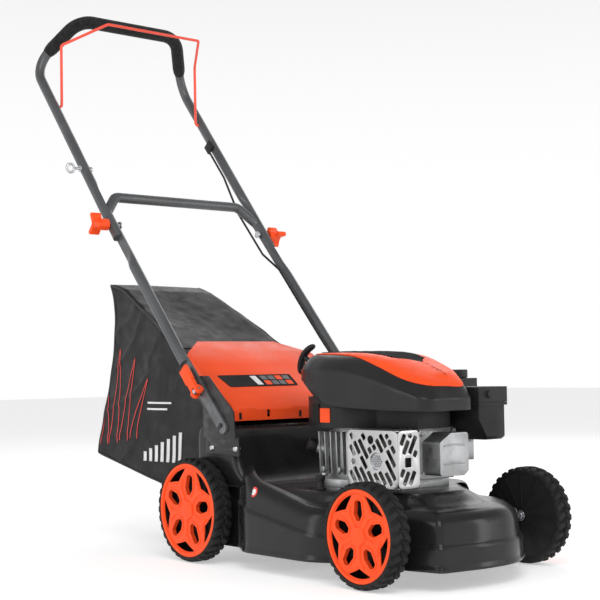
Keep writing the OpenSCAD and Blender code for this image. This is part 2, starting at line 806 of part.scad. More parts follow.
module starter_grip() {
    grip_at = starter_exit + 40 * starter_dir;
    color(black) on_chassis() {
        rod(starter_exit + 9 * starter_dir, grip_at, 5.5);
        translate(grip_at) aim(grip_bar_dir) rotate_extrude() polygon([[0, -50], [6, -50], [10, -44],
            [10, 44], [6, 50], [0, 50]]);
    }
}

// ---------- rear flap and grass bag ----------
function flap_curve(d) = [[412 + d, 268], [412 + d, 288 - d * 0.2], [422, 300 - d], [470, 331 - d],
    [530, 377 - d], [575, 405 - d], [622, 427 - d]];

module rear_flap() {
    t = 3;
    top = flap_curve(0);
    under = flap_curve(t);
    last = len(under) - 1;
    eye_r = 7;
    color(orange) on_chassis() difference() {
        union() {
            intersection() {
                union() {
                    along_x(-165, 165) polygon(concat(top, [for (i = [0:last]) under[last - i]]));
                    both_sides() along_x(-165, -162) polygon(concat(top, [[612, 408], [575, 386],
                        [430, 292], [426, 268]]));
                }
                linear_extrude(600) polygon([[-165, 400], [165, 400], [165, 566], [98, 624],
                    [-98, 624], [-165, 566]]);
            }
            for (x = [-150, -20, 110]) bar_x(flap_hinge, eye_r, x, x + 40);
            for (x = [-150, -20, 110]) translate([x, 412.5, 280]) cube([40, 8, 12]);
        }
        bar_x(flap_hinge, flap_rod_r + running, -170, 170);
        for (x = [-100, 0, 100]) translate([x - 4, 405, 276]) cube([8, 6.9, 12]);
        for (x = [-80, 60]) translate([x - 4, 410, 274]) cube([8, 6, 14]);
    }
}

// Side view of the bag, as [y, z]; drawn in by d.
function bag_side(d) = [[507 + d, 96 + 1.2 * d], [935 - d, 187 + d], [930 - d, 563 - 1.4 * d],
    [876, 548 - 1.2 * d], [622, 411 - 1.2 * d], [575, 388 - 1.2 * d], [507 + d, 333 - d]];

// View of the bag from behind, narrower at the top.
module bag_rear(d) {
    translate([0, 1000, 0]) rotate([90, 0, 0]) linear_extrude(600) polygon([[-158 + d, 80], [158 - d, 80],
        [158 - d, 300], [124 - d, 570], [-124 + d, 570], [-158 + d, 300]]);
}

module grass_bag() {
    color(black) on_chassis() difference() {
        intersection() {
            along_x(-158, 158) polygon(rounded(bag_side(0), 5));
            bag_rear(0);
        }
        intersection() {
            along_x(-155.5, 155.5) polygon(bag_side(2.5));
            bag_rear(2.5);
        }
        translate([-146, 500, 132]) cube([292, 20, 168]);
    }
}

module bag_frame() {
    r = 4;
    x = 149;
    color(black) on_chassis() {
        pipe([[-x, 515, 108], [-x, 515, 316], [x, 515, 316], [x, 515, 108]], r, 14, 12);
        bar_x([515, 108], r + 1, -x - 3, x + 3);
        pipe([[-x + 12, 515, 316], [-x + 12, 586, 371], [-112, 880, 524], [112, 880, 524],
            [x - 12, 586, 371], [x - 12, 515, 316]], r - 0.2, 20, 12);
    }
}

// ---------- handle ----------
flat_r = 100;
lower_start = lower_bend - 14 * unit(joint - lower_bend);
function lower_path(more) = [at_x(-lower_x, lower_start - more * unit(joint - lower_bend)),
    at_x(-lower_x, joint + [24, 27]), at_x(-cross_x, cross_bar), at_x(cross_x, cross_bar),
    at_x(lower_x, joint + [24, 27]), at_x(lower_x, lower_start - more * unit(joint - lower_bend))];
function upper_path(more) = [at_x(-upper_x, upper_end - more * unit(upper_bend - joint)),
    at_x(-upper_x, upper_bend), at_x(-top_x, top_bar), at_x(top_x, top_bar), at_x(upper_x, upper_bend),
    at_x(upper_x, upper_end - more * unit(upper_bend - joint))];

// Strip between two [y, z] points with round ends, w wide.
module strip(a, b, w) {
    way = unit(b - a);
    side = [-way[1], way[0]] * w / 2;
    polygon([a + side, b + side, b - side, a - side]);
    translate(a) circle(r = w / 2);
    translate(b) circle(r = w / 2);
}

module flat_zone(x0, x1, r) {
    translate([x0, joint[0], joint[1]]) rotate([0, 90, 0]) cylinder(r = r, h = x1 - x0, $fn = 96);
}

module lower_handle() {
    r = tube_d / 2;
    color(graphite) on_chassis() difference() {
        union() {
            difference() {
                pipe(lower_path(0), r, 20);
                // pressed flat where the upper handle lies against it
                both_sides() flat_zone(-lower_x - 30, -lower_x, flat_r);
                difference() {
                    pipe(lower_path(5), r - tube_wall, 20);
                    both_sides() flat_zone(-lower_x - 30, -lower_x + tube_wall, flat_r + 1);
                }
            }
            both_sides() along_x(-plate_out_x, -plate_in_x) strip(hook_end, lower_bend + [-6, -6], 24);
            both_sides() along_x(-plate_out_x, -plate_in_x) strip(lower_bend + [-6, -6],
                lower_bend + [12, 14], 21);
        }
        both_sides() bar_x(lower_pivot, 4 + running, -plate_out_x - 20, -plate_in_x + 20);
        both_sides() bar_x(joint, 4 + running, -230, -180);
        // hook over the stop pin, open to the rear
        both_sides() along_x(-plate_out_x - 1, -plate_in_x + 1) strip(stop_pin, stop_pin + [22, -20], 8.8);
    }
}

cam_x = 213.3;
cam_tilt = 48;
module handle_bolts() {
    color(zinc) on_chassis() both_sides() {
        bar_x(joint, 4, -238, -188);
        bar_x(joint, 8, -188.1, -184.5);
        bar_x(lower_pivot, 4, -cam_x - 8, -193);
        bar_x(lower_pivot, 7, -195.4, -192);
        translate([-cam_x, lower_pivot[0], lower_pivot[1]]) rotate([cam_tilt, 0, 0])
            translate([0, 0, -11]) cylinder(r = 2.5, h = 22);
    }
}

module upper_handle() {
    r = tube_d / 2;
    color(graphite) on_chassis() difference() {
        pipe(upper_path(0), r, 60, 16, 8);
        // pressed flat where it lies on the lower handle
        both_sides() flat_zone(-joint_plane_x, -joint_plane_x + 30, flat_r);
        difference() {
            pipe(upper_path(5), r - tube_wall, 60, 16, 8);
            both_sides() flat_zone(-joint_plane_x - tube_wall, -joint_plane_x + 30, flat_r + 1);
        }
        both_sides() bar_x(joint, 4 + running, -240, -180);
        both_sides() bar_x(bail_pivot, bail_d / 2 + running, -204, -180);
        bar_x(guide_at, 3 + running, -230, -180);
    }
}

// The grip covers the top bar and both slopes.
module foam_grip() {
    slope = unit(at_x(-top_x, top_bar) - at_x(-upper_x, upper_bend));
    start = at_x(-upper_x, upper_bend) + 53 * slope;
    beyond = start - 2 * slope;
    color("#19191a") on_chassis() difference() {
        pipe([start, at_x(-top_x, top_bar), at_x(top_x, top_bar), [-start[0], start[1], start[2]]],
            grip_d / 2, 60, 16, 8);
        pipe([beyond, at_x(-top_x, top_bar), at_x(top_x, top_bar), [-beyond[0], beyond[1], beyond[2]]],
            tube_d / 2 + 0.3, 60, 16, 8);
    }
}

module rope_guide() {
    color(zinc) on_chassis() {
        bar_x(guide_at, 3, -230, -189);
        bar_x(guide_at, 6, -193.9, -188.5);
        bar_x(guide_at, 7, -217.5, -216.1);
        translate([-238, guide_at[0] + 4, guide_at[1]]) rotate([90, 0, 0]) rotate_extrude()
            translate([9, 0]) circle(r = 3);
    }
}

module cable_clip() {
    color(black) on_chassis() {
        along_x(188, 193.8) translate(clip_at) rotate(50) translate([-12, -14]) square([24, 26]);
    }
}

// Sheathed cable from the clip, down the left tubes and into the engine.
cable_r = 2.5;
cable_points = [[184, 960, 892], [184, 905, 826], [184, 850, 733.6], [184, 759.3, 630.6], [184, 700, 592], [184, 560, 433],
    [186, 520, 388], [184, 470, 350], [176, 420, 300], [150, 374, 272], [104, 326, 268],
    [76, 303, 266]];

module control_cable() {
    color(black) on_chassis() pipe(cable_points, cable_r, 12, 8, 2);
}

module bail() {
    path = [at_x(-198, bail_pivot), at_x(-bail_x, bail_pivot), at_x(-bail_x, bail_corner),
        at_x(-bail_bar_x, bail_bar), at_x(bail_bar_x, bail_bar), at_x(bail_x, bail_corner),
        at_x(bail_x, bail_pivot), at_x(198, bail_pivot)];
    color("#e84a2e") on_chassis() pipe(path, bail_d / 2, 8, 12, 4);
}

// Three-lobed nut, its axis along X, on the side given.
module wing_knob(side) {
    on_chassis() translate([side * 217.3, joint[0], joint[1]]) rotate([0, side * 90, 0]) difference() {
        union() {
            cylinder(r = 12.5, h = 20);
            translate([0, 0, 1]) cylinder(r = 9, h = 31);
            for (a = [20, 140, 260]) rotate([0, 0, a]) translate([0, 0, 13]) linear_extrude(20.7)
                polygon(concat([[4, -4.5]], arc([20, 0], 6, -60, 60, 10), [[4, 4.5]]));
        }
        translate([0, 0, -1]) cylinder(r = 4 + running, h = 24);
    }
}

module wing_knob_right() {
    color(orange) wing_knob(-1);
}

module wing_knob_left() {
    color(orange) wing_knob(1);
}

// Quick-release lever: cam round an upright pin, with a paddle lying along the tube.
module cam_lever() {
    on_chassis() translate([-cam_x, lower_pivot[0], lower_pivot[1]]) rotate([cam_tilt, 0, 0])
        difference() {
            union() {
                translate([0, 0, -11]) cylinder(r = 9, h = 22);
                translate([-7, 0, -9]) cube([9, 30, 18]);
                translate([-7, 26, -12]) cube([7, 34, 24]);
            }
            translate([0, 0, -12]) cylinder(r = 2.5 + running, h = 24);
            // room for the bolt's eye as the lever swings out
            translate([0, 0, -4.4]) cylinder(r = 10, h = 8.8);
            translate([0, -12, -4.4]) cube([12, 24, 8.8]);
        }
}

module cam_lever_right() {
    color(orange) cam_lever();
}

module cam_lever_left() {
    color(orange) mirror([1, 0, 0]) cam_lever();
}

deck_shell();
handle_brackets();
deck_fasteners();
flap_hinge_rod();
wash_port();
axle_plates();
crankcase();
sump();
cylinder_head();
valve_cover();
muffler();
muffler_guard();
spark_plug();
carburettor();
air_filter_box();
air_filter_cover();
blower_housing();
engine_shroud();
shroud_insert();
intake_grille();
fuel_tank();
fuel_cap();
oil_dipstick();
piston();
connecting_rod();
crankshaft();
flywheel();
blade();
blade_adapter();
recoil_pulley();
starter_grip();
front_axle();
rear_axle();
tyre_front_right();
tyre_front_left();
tyre_rear_right();
tyre_rear_left();
wheel_front_right();
wheel_front_left();
wheel_rear_right();
wheel_rear_left();
cover_front_right();
cover_front_left();
cover_rear_right();
cover_rear_left();
rear_flap();
grass_bag();
bag_frame();
lower_handle();
handle_bolts();
upper_handle();
foam_grip();
rope_guide();
cable_clip();
control_cable();
bail();
wing_knob_right();
wing_knob_left();
cam_lever_right();
cam_lever_left();
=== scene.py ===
import bpy, bmesh, json, math
import numpy as np
from mathutils import Vector, Matrix, noise
from mathutils.bvhtree import BVHTree


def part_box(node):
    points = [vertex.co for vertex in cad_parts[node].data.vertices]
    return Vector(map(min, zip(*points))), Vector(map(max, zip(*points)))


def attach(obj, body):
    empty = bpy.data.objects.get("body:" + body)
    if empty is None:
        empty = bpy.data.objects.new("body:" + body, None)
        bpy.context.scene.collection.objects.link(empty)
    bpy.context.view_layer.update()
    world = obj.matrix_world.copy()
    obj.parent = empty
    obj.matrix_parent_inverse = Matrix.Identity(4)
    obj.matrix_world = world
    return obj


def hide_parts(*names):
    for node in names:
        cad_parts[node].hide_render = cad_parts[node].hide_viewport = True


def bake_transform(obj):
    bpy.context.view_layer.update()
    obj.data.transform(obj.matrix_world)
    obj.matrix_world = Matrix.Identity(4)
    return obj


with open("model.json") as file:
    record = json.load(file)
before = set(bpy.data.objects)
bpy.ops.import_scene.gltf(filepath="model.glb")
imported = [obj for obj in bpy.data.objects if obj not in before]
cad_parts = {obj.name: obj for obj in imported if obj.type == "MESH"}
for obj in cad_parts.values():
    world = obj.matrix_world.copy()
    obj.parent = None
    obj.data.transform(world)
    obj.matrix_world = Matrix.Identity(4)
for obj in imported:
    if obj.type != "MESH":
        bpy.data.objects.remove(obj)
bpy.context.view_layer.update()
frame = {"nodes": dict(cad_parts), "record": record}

# Points are written in mm from the front axle's middle on the ground, x to the operator's left.
axle_lo, axle_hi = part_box("front_axle")
FRONT_Y = (axle_lo.y + axle_hi.y) / 2


def P(x, y, z):
    return Vector((x / 1000, y / 1000 + FRONT_Y, z / 1000))


def put(name, data):
    """A new object in the scene."""
    o = bpy.data.objects.new(name, data)
    bpy.context.scene.collection.objects.link(o)
    return o


def taken_mesh(o):
    """The mesh that an object's modifiers or curve settings give; the object itself goes."""
    me = bpy.data.meshes.new_from_object(o.evaluated_get(bpy.context.evaluated_depsgraph_get()))
    bpy.data.objects.remove(o)
    return me


def set_inputs(node, values):
    for key, value in values.items():
        node.inputs[key].default_value = value


# ---------------------------------------------------------------- camera and light
CAMERA_AT = (-1696.77, -1624.70, 369.36)
CAMERA_YAW, CAMERA_PITCH, CAMERA_ROLL = 0.71946, 0.05043, -0.0164
LENS_MM, SENSOR_MM = 79.2, 36
SHIFT_X, SHIFT_Y = -0.0522, 0.0004


def make_camera():
    """The camera that was solved from the photograph."""
    flat = math.cos(CAMERA_PITCH)
    f = Vector((math.sin(CAMERA_YAW) * flat, math.cos(CAMERA_YAW) * flat, math.sin(CAMERA_PITCH)))
    r = f.cross(Vector((0, 0, 1))).normalized()
    u = r.cross(f)
    right = r * math.cos(CAMERA_ROLL) + u * math.sin(CAMERA_ROLL)
    up = u * math.cos(CAMERA_ROLL) - r * math.sin(CAMERA_ROLL)
    cam = put("camera", bpy.data.cameras.new("camera"))
    m = Matrix((right, up, -f)).transposed().to_4x4()
    m.translation = P(*CAMERA_AT)
    cam.matrix_world = m
    cam.data.sensor_width = SENSOR_MM
    cam.data.lens = LENS_MM
    cam.data.shift_x = SHIFT_X
    cam.data.shift_y = SHIFT_Y
    cam.data.clip_end = 50
    bpy.context.scene.camera = cam


def area_light(name, at, target, size, power):
    light = bpy.data.lights.new(name, "AREA")
    light.shape = "RECTANGLE"
    light.size, light.size_y = size
    light.energy = power
    o = put(name, light)
    o.location = at
    o.rotation_mode = "QUATERNION"
    o.rotation_quaternion = (Vector(target) - Vector(at)).to_track_quat("-Z", "Y")


def make_world():
    """A white studio that is bright round the horizon and dimmer overhead."""
    world = bpy.data.worlds.new("studio")
    bpy.context.scene.world = world
    world.use_nodes = True
    nodes, links = world.node_tree.nodes, world.node_tree.links
    background = nodes["Background"]
    background.inputs["Strength"].default_value = 1.0
    way = nodes.new("ShaderNodeTexCoord")
    split = nodes.new("ShaderNodeSeparateXYZ")
    links.new(way.outputs["Generated"], split.inputs[0])
    level = nodes.new("ShaderNodeMapRange")
    level.interpolation_type = "SMOOTHSTEP"
    set_inputs(level, {"From Min": 0.12, "From Max": 0.75, "To Min": 1.0, "To Max": 0.38})
    links.new(split.outputs["Z"], level.inputs["Value"])
    links.new(level.outputs["Result"], background.inputs["Color"])


FLOOR_HALF, FLOOR_Z = 14, -0.0005


def make_floor():
    me = bpy.data.meshes.new("floor")
    corners = [(x * FLOOR_HALF, y * FLOOR_HALF, FLOOR_Z) for x, y in ((-1, -1), (1, -1), (1, 1), (-1, 1))]
    me.from_pydata(corners, [], [(0, 1, 2, 3)])
    floor = put("floor", me)
    m = bpy.data.materials.new("floor")
    m.use_nodes = True
    set_inputs(m.node_tree.nodes["Principled BSDF"],
               {"Base Color": (0.8, 0.8, 0.8, 1), "Roughness": 0.9, "Emission Color": (1, 1, 1, 1),
                "Emission Strength": 0.42})
    me.materials.append(m)


def make_stage():
    make_world()
    area_light("key", (-1.6, -2.4, 3.2), (0, 0, 0.4), (2.6, 2.2), 62)
    area_light("side", (-3.4, 0.7, 1.5), (0, 0, 0.5), (1.0, 2.4), 20)
    area_light("rim", (2.6, 1.8, 2.6), (0, 0, 0.6), (3.0, 2.4), 28)
    area_light("front", (2.4, -3.2, 1.4), (0, -0.2, 0.3), (1.0, 2.0), 19)
    bpy.context.scene.view_settings.view_transform = "Standard"
    bpy.context.scene.view_settings.look = "None"
    make_floor()


# ---------------------------------------------------------------- materials
WEAVE_PITCH = 0.0016


def surface(name, colour, metallic=0.0, rough=0.5, rough_var=0.08, tone=0.12, tone_scale=9.0,
            bump=0.1, bump_scale=900.0, detail=3.0, coat=0.0, sheen=0.0, stretch=(1, 1, 1), wear=0.0,
            wear_colour=(0.5, 0.5, 0.5), weave=0.0, spec=0.5):
    """One procedural material: tone drift, roughness drift, fine relief, weave and worn edges."""
    m = bpy.data.materials.new(name)
    m.use_nodes = True
    nt = m.node_tree
    n, l = nt.nodes, nt.links
    b = n["Principled BSDF"]
    set_inputs(b, {"Metallic": metallic, "Coat Weight": coat, "Coat Roughness": 0.12,
                   "Specular IOR Level": spec, "Sheen Weight": sheen, "Sheen Roughness": 0.4})
    co = n.new("ShaderNodeTexCoord").outputs["Object"]
    mp = n.new("ShaderNodeMapping")
    mp.inputs["Scale"].default_value = stretch
    l.new(co, mp.inputs["Vector"])

    def noise_tex(scale, det, vec):
        t = n.new("ShaderNodeTexNoise")
        set_inputs(t, {"Scale": scale, "Detail": det})
        l.new(vec, t.inputs["Vector"])
        return t.outputs["Fac"]

    def span(fac, lo, hi, a=0.0, z=1.0):
        r = n.new("ShaderNodeMapRange")
        set_inputs(r, {"From Min": lo, "From Max": hi, "To Min": a, "To Max": z})
        l.new(fac, r.inputs["Value"])
        return r.outputs["Result"]

    def mix(fac, a, z):
        x = n.new("ShaderNodeMix")
        x.data_type = "RGBA"
        for s, v in ((6, a), (7, z)):
            if isinstance(v, tuple):
                x.inputs[s].default_value = (*v, 1)
            else:
                l.new(v, x.inputs[s])
        l.new(fac, x.inputs[0])
        return x.outputs[2]

    def maths(operation, *values):
        x = n.new("ShaderNodeMath")
        x.operation = operation
        for socket, v in zip(x.inputs, values):
            if isinstance(v, float):
                socket.default_value = v
            else:
                l.new(v, socket)
        return x.outputs[0]

    dark = tuple(c * (1 - tone) for c in colour)
    light = tuple(min(1, c * (1 + tone) + 0.003) for c in colour)
    base = mix(span(noise_tex(tone_scale, 4, co), 0.35, 0.65), dark, light)
    if wear:
        edge = span(n.new("ShaderNodeNewGeometry").outputs["Pointiness"], 0.53, 0.62, 0, wear)
        worn = maths("MULTIPLY", edge, span(noise_tex(60, 4, co), 0.42, 0.62))
        base = mix(worn, base, wear_colour)
    l.new(base, b.inputs["Base Color"])
    l.new(span(noise_tex(tone_scale * 3, 4, mp.outputs[0]), 0.3, 0.7, max(0.02, rough - rough_var),
               min(1, rough + rough_var)), b.inputs["Roughness"])
    height = noise_tex(bump_scale, detail, mp.outputs[0])
    if weave:
        parts = []
        for axis in ("X", "Y", "Z"):
            w = n.new("ShaderNodeTexWave")
            w.wave_type = "BANDS"
            w.bands_direction = axis
            set_inputs(w, {"Scale": 0.314 / WEAVE_PITCH, "Distortion": 0.6, "Detail Scale": 3})
            l.new(co, w.inputs["Vector"])
            parts.append(w.outputs["Fac"])
        total = maths("ADD", maths("ADD", parts[0], parts[1]), parts[2])
        height = maths("MULTIPLY_ADD", total, weave, height)
    bp = n.new("ShaderNodeBump")
    set_inputs(bp, {"Strength": bump, "Distance": 0.0006})
    l.new(height, bp.inputs["Height"])
    l.new(bp.outputs["Normal"], b.inputs["Normal"])
    return m


M = dict(
    deck=surface("deck_paint", (0.009, 0.009, 0.010), spec=0.24, rough=0.3, rough_var=0.06, bump=0.05,
        bump_scale=420, coat=0.16, wear=0.15, wear_colour=(0.2, 0.2, 0.2)),
    bracket=surface("bracket_paint", (0.018, 0.018, 0.019), spec=0.26, rough=0.42, bump=0.08,
        bump_scale=600, coat=0.1, wear=0.2, wear_colour=(0.3, 0.3, 0.3)),
    graphite=surface("graphite_paint", (0.085, 0.088, 0.092), metallic=0.35, rough=0.4, bump=0.02,
        bump_scale=700, coat=0.15, wear=0.1),
    bail=surface("bail_coating", (0.80, 0.06, 0.025), rough=0.4, bump=0.08, bump_scale=900, coat=0.15),
    foam=surface("foam_rubber", (0.012, 0.012, 0.012), spec=0.26, rough=0.9, bump=0.5, bump_scale=1500,
        detail=5, tone=0.3, tone_scale=120, sheen=0.15),
    tyre=surface("tyre_rubber", (0.011, 0.011, 0.011), spec=0.26, rough=0.72, bump=0.25, bump_scale=500,
        detail=5, tone=0.25, tone_scale=40),
    rim=surface("wheel_plastic", (0.012, 0.012, 0.012), spec=0.26, rough=0.55, bump=0.12,
        bump_scale=1200),
    orange=surface("orange_plastic", (0.92, 0.085, 0.016), rough=0.4, bump=0.08, bump_scale=1400,
        tone=0.05, spec=0.16),
    black=surface("black_plastic", (0.013, 0.013, 0.014), spec=0.26, rough=0.48, bump=0.16,
        bump_scale=1700, detail=4, tone=0.15),
    shroud=surface("shroud_plastic", (0.014, 0.014, 0.015), spec=0.24, rough=0.34, bump=0.1,
        bump_scale=1500, tone=0.1, coat=0.06),
    alloy=surface("cast_alloy", (0.46, 0.465, 0.47), metallic=1, rough=0.5, rough_var=0.1, bump=0.35,
        bump_scale=700, detail=5, tone=0.1, tone_scale=30),
    guard=surface("guard_sheet", (0.52, 0.52, 0.52), metallic=1, rough=0.34, rough_var=0.08, bump=0.08,
        bump_scale=900, stretch=(1, 12, 1), tone=0.05),
    muffler=surface("muffler_steel", (0.10, 0.095, 0.09), metallic=1, rough=0.6, tone=0.3, bump=0.15),
    zinc=surface("zinc", (0.55, 0.56, 0.58), metallic=1, rough=0.33, rough_var=0.1, bump=0.1,
        bump_scale=500, tone=0.08, tone_scale=60),
    steel=surface("machined_steel", (0.42, 0.42, 0.43), metallic=1, rough=0.38, bump=0.1, bump_scale=400,
        stretch=(10, 1, 1), tone=0.12, tone_scale=20),
    ceramic=surface("plug_ceramic", (0.82, 0.80, 0.74), rough=0.2, bump=0.03, tone=0.04),
    bag=surface("bag_cloth", (0.008, 0.008, 0.009), spec=0.2, rough=0.45, rough_var=0.1, bump=0.35,
        bump_scale=220, detail=4, weave=0.35, sheen=0.04, tone=0.2, tone_scale=14),
    piping=surface("bag_piping", (0.02, 0.02, 0.021), rough=0.5, bump=0.2, bump_scale=900),
    red=surface("print_red", (0.75, 0.05, 0.04), rough=0.5, bump=0.15, bump_scale=600, weave=0.3,
        tone=0.1),
    white=surface("print_white", (0.75, 0.75, 0.75), rough=0.5, bump=0.15, bump_scale=600, weave=0.3,
        tone=0.06),
    rope=surface("starter_rope", (0.02, 0.02, 0.02), rough=0.8, bump=0.6, bump_scale=400,
        stretch=(1, 1, 3)),
    cable=surface("cable_sheath", (0.015, 0.015, 0.015), spec=0.26, rough=0.45, bump=0.1, bump_scale=900),
    # near-black: printed label panels, and painted shade in the grille's gaps and the flap's slots
    dark=surface("black_print_and_painted_shade", (0.008, 0.008, 0.008), spec=0.26, rough=0.7, bump=0.1),
)

CAD_FINISH = dict(
    deck="deck_shell",
    bracket="handle_brackets bag_frame",
    zinc="deck_fasteners flap_hinge_rod axle_plates front_axle rear_axle handle_bolts rope_guide",
    black="wash_port air_filter_box air_filter_cover blower_housing intake_grille fuel_tank fuel_cap "
          "oil_dipstick recoil_pulley starter_grip cable_clip",
    shroud="engine_shroud",
    alloy="crankcase sump cylinder_head valve_cover piston connecting_rod",
    guard="muffler_guard", muffler="muffler", steel="crankshaft flywheel blade blade_adapter carburettor",
    ceramic="spark_plug",
    orange="shroud_insert rear_flap wing_knob_right wing_knob_left cam_lever_right cam_lever_left",
    graphite="lower_handle upper_handle",
    bail="bail", foam="foam_grip", cable="control_cable", bag="grass_bag")
FINISH_OF = {n: k for k, names in CAD_FINISH.items() for n in names.split()}
CORNERS = ("front_right", "front_left", "rear_right", "rear_left")
for corner in CORNERS:
    FINISH_OF.update({"wheel_" + corner: "rim", "tyre_" + corner: "tyre", "cover_" + corner: "orange"})
BODY_OF = {n: b for b, ns in frame["record"]["behaviour"]["bodies"].items() for n in ns}


# ---------------------------------------------------------------- mesh helpers
def add(name, bm, finish, body, *nodes, slot_of=None, smooth=35):
    """A bmesh as a finished piece, riding on its body and standing for nodes.

    Its material slot is that of slot_of, or else of the first node. With no body it is blended later.
    """
    me = bpy.data.meshes.new(name)
    bm.normal_update()
    bm.to_mesh(me)
    bm.free()
    me.materials.append(M[finish])
    o = put(name, me)
    me.polygons.foreach_set("use_smooth", [True] * len(me.polygons))
    if smooth:
        me.set_sharp_from_angle(angle=math.radians(smooth))
    if body:
        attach(o, body)
    if nodes:
        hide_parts(*nodes)
    return o


def thicken(o, mm, offset=-1):
    """Gives a skin its thickness, inward unless offset is 1."""
    solid = o.modifiers.new("thickness", "SOLIDIFY")
    solid.thickness = mm / 1000
    solid.offset = offset


def settle(bm):
    """Splits faces of more than four sides and turns all faces outward."""
    bmesh.ops.triangulate(bm, faces=[f for f in bm.faces if len(f.verts) > 4])
    bmesh.ops.recalc_face_normals(bm, faces=bm.faces)


def cap(bm, above):
    """Closes the open edge that lies higher than above, in mm."""
    height = P(0, 0, above).z
    rim = [e for e in bm.edges if e.is_boundary and min(v.co.z for v in e.verts) > height]
    bmesh.ops.contextual_create(bm, geom=rim)


def mm_box(node):
    """The two corners of a node's box, in this script's mm."""
    return [np.array((c.x, c.y - FRONT_Y, c.z)) * 1000 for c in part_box(node)]


def mirrored(half):
    """A line from its right half: the points, then their mirror images in turn."""
    return half + [(-x, y, z) for x, y, z in reversed(half)]


SHARP_DEG = 32


def refine(node, bevel):
    """The CAD node's own shape with its hard edges rounded over, as a moulded or machined piece has."""
    bm = bmesh.new()
    bm.from_mesh(frame["nodes"][node].data)
    bmesh.ops.remove_doubles(bm, verts=bm.verts, dist=2e-5)
    bmesh.ops.dissolve_limit(bm, angle_limit=math.radians(1.2), verts=bm.verts, edges=bm.edges)
    sharp = [e for e in bm.edges
             if len(e.link_faces) == 2 and e.calc_face_angle(0) > math.radians(SHARP_DEG)]
    bmesh.ops.bevel(bm, geom=sharp, offset=bevel / 1000, segments=2, profile=0.5,
                    affect="EDGES", clamp_overlap=True)
    bmesh.ops.triangulate(bm, faces=[f for f in bm.faces if len(f.verts) > 4])
    add(node + "_finished", bm, FINISH_OF[node], BODY_OF[node], node)


def bridge(bm, a, b):
    """A closed band of quads between two rings of vertices."""
    for i in range(len(a)):
        j = (i + 1) % len(a)
        bm.faces.new((a[i], a[j], b[j], b[i]))


def unit(v):
    return v / np.linalg.norm(v)


def route(pts, bend, n):
    """Points of a line with an arc of radius bend and n steps at each inner corner."""
    pts = [np.array(p, float) for p in pts]
    out = [pts[0]]
    for i in range(1, len(pts) - 1):
        a, b, c = pts[i - 1], pts[i], pts[i + 1]
        u, v = unit(a - b), unit(c - b)
        half = math.acos(max(-1, min(1, float(u @ v)))) / 2
        if half > math.pi / 2 - 0.01:
            out.append(b)
            continue
        reach = bend / math.tan(half)
        centre = b + unit(u + v) * bend / math.sin(half)
        turn = math.pi - 2 * half
        s, e = b + u * reach - centre, b + v * reach - centre
        for k in range(n + 1):
            t = turn * k / n
            out.append(centre + (s * math.sin(turn - t) + e * math.sin(t)) / math.sin(turn))
    out.append(pts[-1])
    return out


def tube(line, r, sides, closed=False, shape=None):
    """Round tube along line (mm), as a bmesh. r is one radius or one for each point."""
    bm = bmesh.new()
    line = [np.array(p, float) for p in line]
    last = len(line) - 1
    ways = [unit(line[i + 1] - line[i]) for i in range(last)]
    if closed:
        ways.append(unit(line[0] - line[last]))
    up = None
    rings = []
    for i, p in enumerate(line):
        if closed:
            w = unit(ways[i - 1] + ways[i])
        else:
            w = ways[0] if i == 0 else ways[-1] if i == last else unit(ways[i - 1] + ways[i])
        if up is None:
            up = unit(np.cross(w, [1, 0, 0] if abs(w[0]) < 0.9 else [0, 0, 1]))
        up = unit(up - w * (up @ w))
        side = np.cross(w, up)
        rr = r[i] if isinstance(r, (list, tuple, np.ndarray)) else r
        ring = []
        for k in range(sides):
            a = 2 * math.pi * k / sides
            q = p + rr * (up * math.cos(a) + side * math.sin(a))
            if shape:
                q = shape(q, p)
            ring.append(bm.verts.new(P(*q)))
        rings.append(ring)
    pairs = list(zip(rings, rings[1:])) + ([(rings[-1], rings[0])] if closed else [])
    for a, b in pairs:
        bridge(bm, a, b)
    if not closed:
        bm.faces.new(list(reversed(rings[0])))
        bm.faces.new(rings[-1])
    bmesh.ops.recalc_face_normals(bm, faces=bm.faces)
    return bm


# ---------------------------------------------------------------- wheels
TREAD_DEPTH = 0.0042
FRONT_TYRE_MAX = 0.094  # metres; a larger tyre is a rear one, with more blocks


def tread_wheel(node):
    """Tyre with deep zig-zag blocks, round shoulders and plain side walls."""
    lo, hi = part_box(node)
    c = (lo + hi) / 2
    R = (hi.z - lo.z) / 2
    half = (hi.x - lo.x) / 2
    front = R < FRONT_TYRE_MAX
    blocks = 30 if front else 33
    n_round = blocks * 12
    inner = R * (0.88 if front else 0.905) + 0.0002
    profile = []
    for x, r in ((-1, inner), (-1, R - 0.0075), (-0.97, R - 0.0055)):
        profile.append((x * half, r, 0))
    steps = 22
    for i in range(steps + 1):
        t = -0.93 + 1.86 * i / steps
        crown = 0.0022 * max(0, abs(t) - 0.55) ** 1.6 / 0.25
        profile.append((t * half, R - crown, 1))
    for x, r in ((0.97, R - 0.0055), (1, R - 0.0075), (1, inner)):
        profile.append((x * half, r, 0))
    bm = bmesh.new()
    rings = []
    for j in range(n_round):
        a = 2 * math.pi * j / n_round
        ring = []
        for x, r, treaded in profile:
            if treaded:
                t = x / half
                zig = abs(((a * blocks / (2 * math.pi)) + 0.55 * abs(t)) % 1 - 0.5) * 2
                groove = 1 - min(1, max(0, (zig - 0.30) / 0.16))
                centre = 1 - min(1, max(0, (abs(t + 0.10 * math.sin(a * blocks)) - 0.05) / 0.06))
                cut = max(groove if abs(t) > 0.1 else 0, centre)
                r -= TREAD_DEPTH * cut
            ring.append(bm.verts.new((c.x + x, c.y + r * math.sin(a), c.z + r * math.cos(a))))
        rings.append(ring)
    for j in range(n_round):
        bridge(bm, rings[j], rings[(j + 1) % n_round])
    bmesh.ops.recalc_face_normals(bm, faces=bm.faces)
    add(node + "_tread", bm, "tyre", BODY_OF[node], node, smooth=38)


